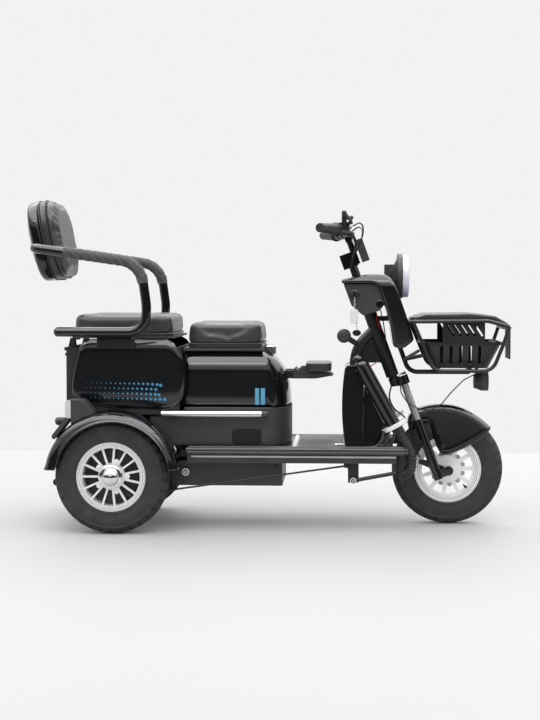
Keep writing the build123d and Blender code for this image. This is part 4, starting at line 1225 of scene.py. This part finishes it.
deck = plan_slab([(-256, -210), (428, -210), (442, -196), (442, -132), (362, -132)], 240, 262.8)
deck = piece("footboard", deck, deck_plastic, bevel=8, segments=5, stands_for="floorboard")
skirt = plan_slab([(-250, -206), (404, -206), (404, -133), (361, -133)], 214, 239.8)
piece("footboard_skirt", skirt, deck_plastic, bevel=2.5, segments=3)
strip, bead, ribs, latch, curls = (bmesh.new() for _ in range(5))
for side in (-1, 1):
    rod(bead, (-236, 206 * side, 234), (402, 206 * side, 234), 3.2, sides=16)
    rod(ribs, (-250, 205 * side, 246.5), (428, 205 * side, 246.5), 6.2, sides=20)
    for y in (197 * side, 182 * side):
        rod(ribs, (-244, y, 261.8), (426, y, 261.8), 4.2, sides=16)
for y in range(-160, 161, 20):
    rod(ribs, (98, y, 261.5), (238, y, 261.5), 5.2, sides=12)
block(strip, (79, -170, 262), (92, 170, 265.4))
block(latch, (221, -168, 262.5), (243, -150, 272))
rod(latch, (212, -160, 268), (232, -160, 268), 4)
for x, y in ((348, -186), (366, -176), (384, -166)):
    skin(curls, route([(x - 34, y, 262), (x - 4, y, 264), (x + 12, y, 288), (x + 16, y, 316)], [24, 24], 3), 4.6, 12)
both_sides(curls)
piece("footboard_strip", strip, satin, bevel=1)
# the bead's light grey is a painted highlight
piece("footboard_bead", bead, bead_painted_highlight)
piece("footboard_ribs", ribs, deck_plastic, bevel=1)
piece("deck_latch", latch, steel, bevel=1.5)
piece("footboard_curls", curls, deck_plastic)
print("footboard", [round(v, 3) for v in deck.dimensions])

# %% [markdown]
# ## Guard feet, side tubes and hardware
# Rings of slightly larger radius make the pleats of a bellows; a tube with a saw-toothed
# radius makes a knurl. Bolts are six-sided rods with a washer under them.

# %% Guard flanges and bellows
pleats, flanges, caps = (bmesh.new() for _ in range(3))
stops = route([(399.5, -155, 326), (450, -155, 238), (450, -155, 188), (412, -155, 168)], [55, 28], 1.6)
skin(pleats, stops[14:], [17.3 + 1.9 * (number % 5 < 2) for number in range(14, len(stops))], 26)
both_sides(pleats)
piece("guard_bellows", pleats, grip_rubber, corner=40)
across, down = Vector((0.877, 0, 0.48)), Vector((0.48, 0, -0.877))
for y in (-155, 155):
    centre = at(400, y, 328.5)
    place = Matrix(((0, across.x, down.x, centre.x), (1, across.y, down.y, centre.y),
                    (0, across.z, down.z, centre.z), (0, 0, 0, 1)))
    bmesh.ops.create_cone(flanges, cap_ends=True, segments=48, radius1=1, radius2=1, depth=0.0135,
                          matrix=place @ Matrix.Diagonal((0.031, 0.044, 1, 1)))
    lathe(caps, [(0.1, 10.5), (6, 9.8), (11.5, 7), (14, 2), (14.5, -4)],
          at(287, y, 532) - down * 0.008, -down, 32)
piece("guard_flanges", flanges, wheel_paint, bevel=2, segments=3)
piece("guard_caps", caps, gloss)
print("guard feet")

# %% Side tube ends and knurls
knurl, ends = bmesh.new(), bmesh.new()
skin(knurl, [at(-162 + 1.4 * n, -196, 366.5) for n in range(81)], [10.2 + 0.45 * (n % 2) for n in range(81)], 28)
rod(ends, (-16, -196, 366.5), (0, -196, 366.5), 10.6, sides=28)
ball(ends, (0, -196, 366.5), 10.6, (0.6, 1, 1))
for name, shape, finish, corner in (("side_tube_knurls", knurl, satin, 80), ("side_tube_ends", ends, trim, 38)):
    both_sides(shape)
    piece(name, shape, finish, corner=corner)
print("side tubes")

# %% [markdown]
# A rim has fine grooves turned into its outer face. They are drawn as flat dark rings of painted shade, dropped onto
# the CAD rim by ray casting. Dark drums, and grey discs of painted shade in the hollows, fill what shows between the
# spokes.

# %% Rim lines, drums and painted shade in the recesses
def rim_lines(node, hub, side, body, radii):
    """Flat dark rings of (radius, width) laid on a rim's outer face as the painted shade of its grooves."""
    out = Vector((0, side, 0))
    shape = BVHTree.FromObject(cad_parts[node], bpy.context.evaluated_depsgraph_get())
    grooves = bmesh.new()
    for radius, width in radii:
        rings = []
        for reach in (radius, radius + width):
            rings.append([])
            for angle in round_turn(120):
                spot = hub + Vector((reach * cos(angle), 200 * side, reach * sin(angle))) / 1000
                hit = shape.ray_cast(spot, -out)[0]
                spot.y = (hit.y if hit else hub.y + 0.034 * side) + 0.0004 * side
                rings[-1].append(grooves.verts.new(spot))
        bridge(grooves, *rings)
    for face in grooves.faces:
        face.normal_update()
        if face.normal.dot(out) < 0:
            face.normal_flip()
    # the rings are painted shade where the turned grooves lie
    piece("rim_lines", grooves, groove_painted_shade, body, tidy=False)


DRUM_LINE = [(0.1, -4), (83, -4), (86, -6), (86, -12), (0.1, -12)]
for side, body in REAR_WHEELS:
    hub, drum = at(-476, 255 * side, 178), bmesh.new()
    rim_lines(body.replace("wheel", "rim"), hub, side, body, ((103.4, 1.3), (98.2, 1.6), (93.2, 1.0)))
    lathe(drum, DRUM_LINE, hub, (0, side, 0))
    piece("brake_drum", drum, coat, body)
middle, hollow_shade_discs = at(574, 0, 178), bmesh.new()
rim_lines("front_rim", middle, -1, "front_wheel", ((103.2, 1.2), (96.0, 1.6), (91.2, 1.0)))
# grey discs of painted shade in the front rim's hollows
for n in range(11):
    angle = 2 * pi * (n + 0.5) / 11
    spot = middle + Vector((50.5 * cos(angle), -20, 50.5 * sin(angle))) / 1000
    rod(hollow_shade_discs, spot, spot + SIDE * 0.0004, 7.6)
piece("rim_hollow_shade", hollow_shade_discs, hollow_painted_shade, "front_wheel")
print("rim lines laid on")

# %% [markdown]
# The horn's wire hangs between the crown, which turns, and the horn, which doesn't. It is
# baked where it lies and rides on no body.

# %% Loose wires, seat bracket and bag hook
for name, finish, radius, runs in (
        ("red_wires", red_sheath, 1.7, [
            ([(344, -22, 682), (346, -24, 655), (352, -24, 636), (366, -22, 622)], [30, 12], 3),
            ([(300, -16, 508), (322, -20, 505), (350, -18, 524)], [14], 3)]),
        ("loose_wire", sheath, 1.8, [
            ([(357, -24, 690), (366, -26, 650), (374, -26, 600), (366, -24, 570)], [40, 30], 4)]),
        ("horn_lead", sheath, 1.9, [
            ([(418, -95, 462), (421, -103, 428), (444, -110, 394), (486, -104, 375), (517, -90, 374),
              (551, -72, 391), (583, -50, 427), (624, -28, 465), (657, -12, 481)], [30] * 7, 5)])):
    wires = bmesh.new()
    for run in runs:
        skin(wires, route(*run), radius, 10)
    wires = piece(name, wires, finish, None if name == "horn_lead" else "frame")
at(424, -96, 440)
at(648, -18, 478)
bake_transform(wires)
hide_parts("horn_wire")

bracket, knob = bmesh.new(), bmesh.new()
block(bracket, (20, -38, 474), (86, 38, 489))
for y in (-44, 44):
    block(bracket, (34, y - 5, 470), (84, y + 5, 496))
piece("child_seat_bracket", bracket, coat, bevel=1.5)
lathe(knob, [(0.1, 65.5), (6, 65.5), (7.5, 64), (9.5, 64), (11, 65.5), (18, 64.5),
             (21.5, 61), (22.5, 55), (21.5, 50), (0.1, 50)], (240, 0, 607), SIDE, 40)
piece("bag_hook_knob", knob, trim, corner=50)
print("wires, bracket and knob")

# %% Bolts and washers
def bolt(bm, spot, radius, washer=0.0):
    """Hexagon head on its washer, facing the near side, radius in millimetres."""
    if washer:
        rod(bm, spot - SIDE * 0.001, spot + SIDE * 0.0018, washer, sides=28)
    rod(bm, spot, spot + SIDE * (0.0018 + radius * 0.0007), radius, sides=6)


bright, dark, rings, fender_bolts = (bmesh.new() for _ in range(4))
for spot, radius in ((at(-257, -173.5, 181), 11.5), (at(270, -194, 159), 9.5)):
    rod(rings, spot, spot + SIDE * 0.0022, radius, sides=32)
    rod(dark, spot, spot + SIDE * 0.0028, radius * 0.76, sides=28)
    bolt(bright, spot + SIDE * 0.002, radius * 0.52)
bolt(dark, at(24, -150, 195), 5, 6.5)
bolt(dark, at(-120, -150, 206), 3)
for x, z in ((543, 300), (559, 253)):
    bolt(fender_bolts, at(x, -52.5, z), 4, 6.5)
both_sides(fender_bolts)
piece("washers", rings, wheel_paint, bevel=0.4)
piece("bolts", bright, steel, bevel=0.5)
piece("dark_bolts", dark, coat, bevel=0.5)
piece("mudguard_bolts", fender_bolts, coat, "steering", bevel=0.4)
print("hardware ready")
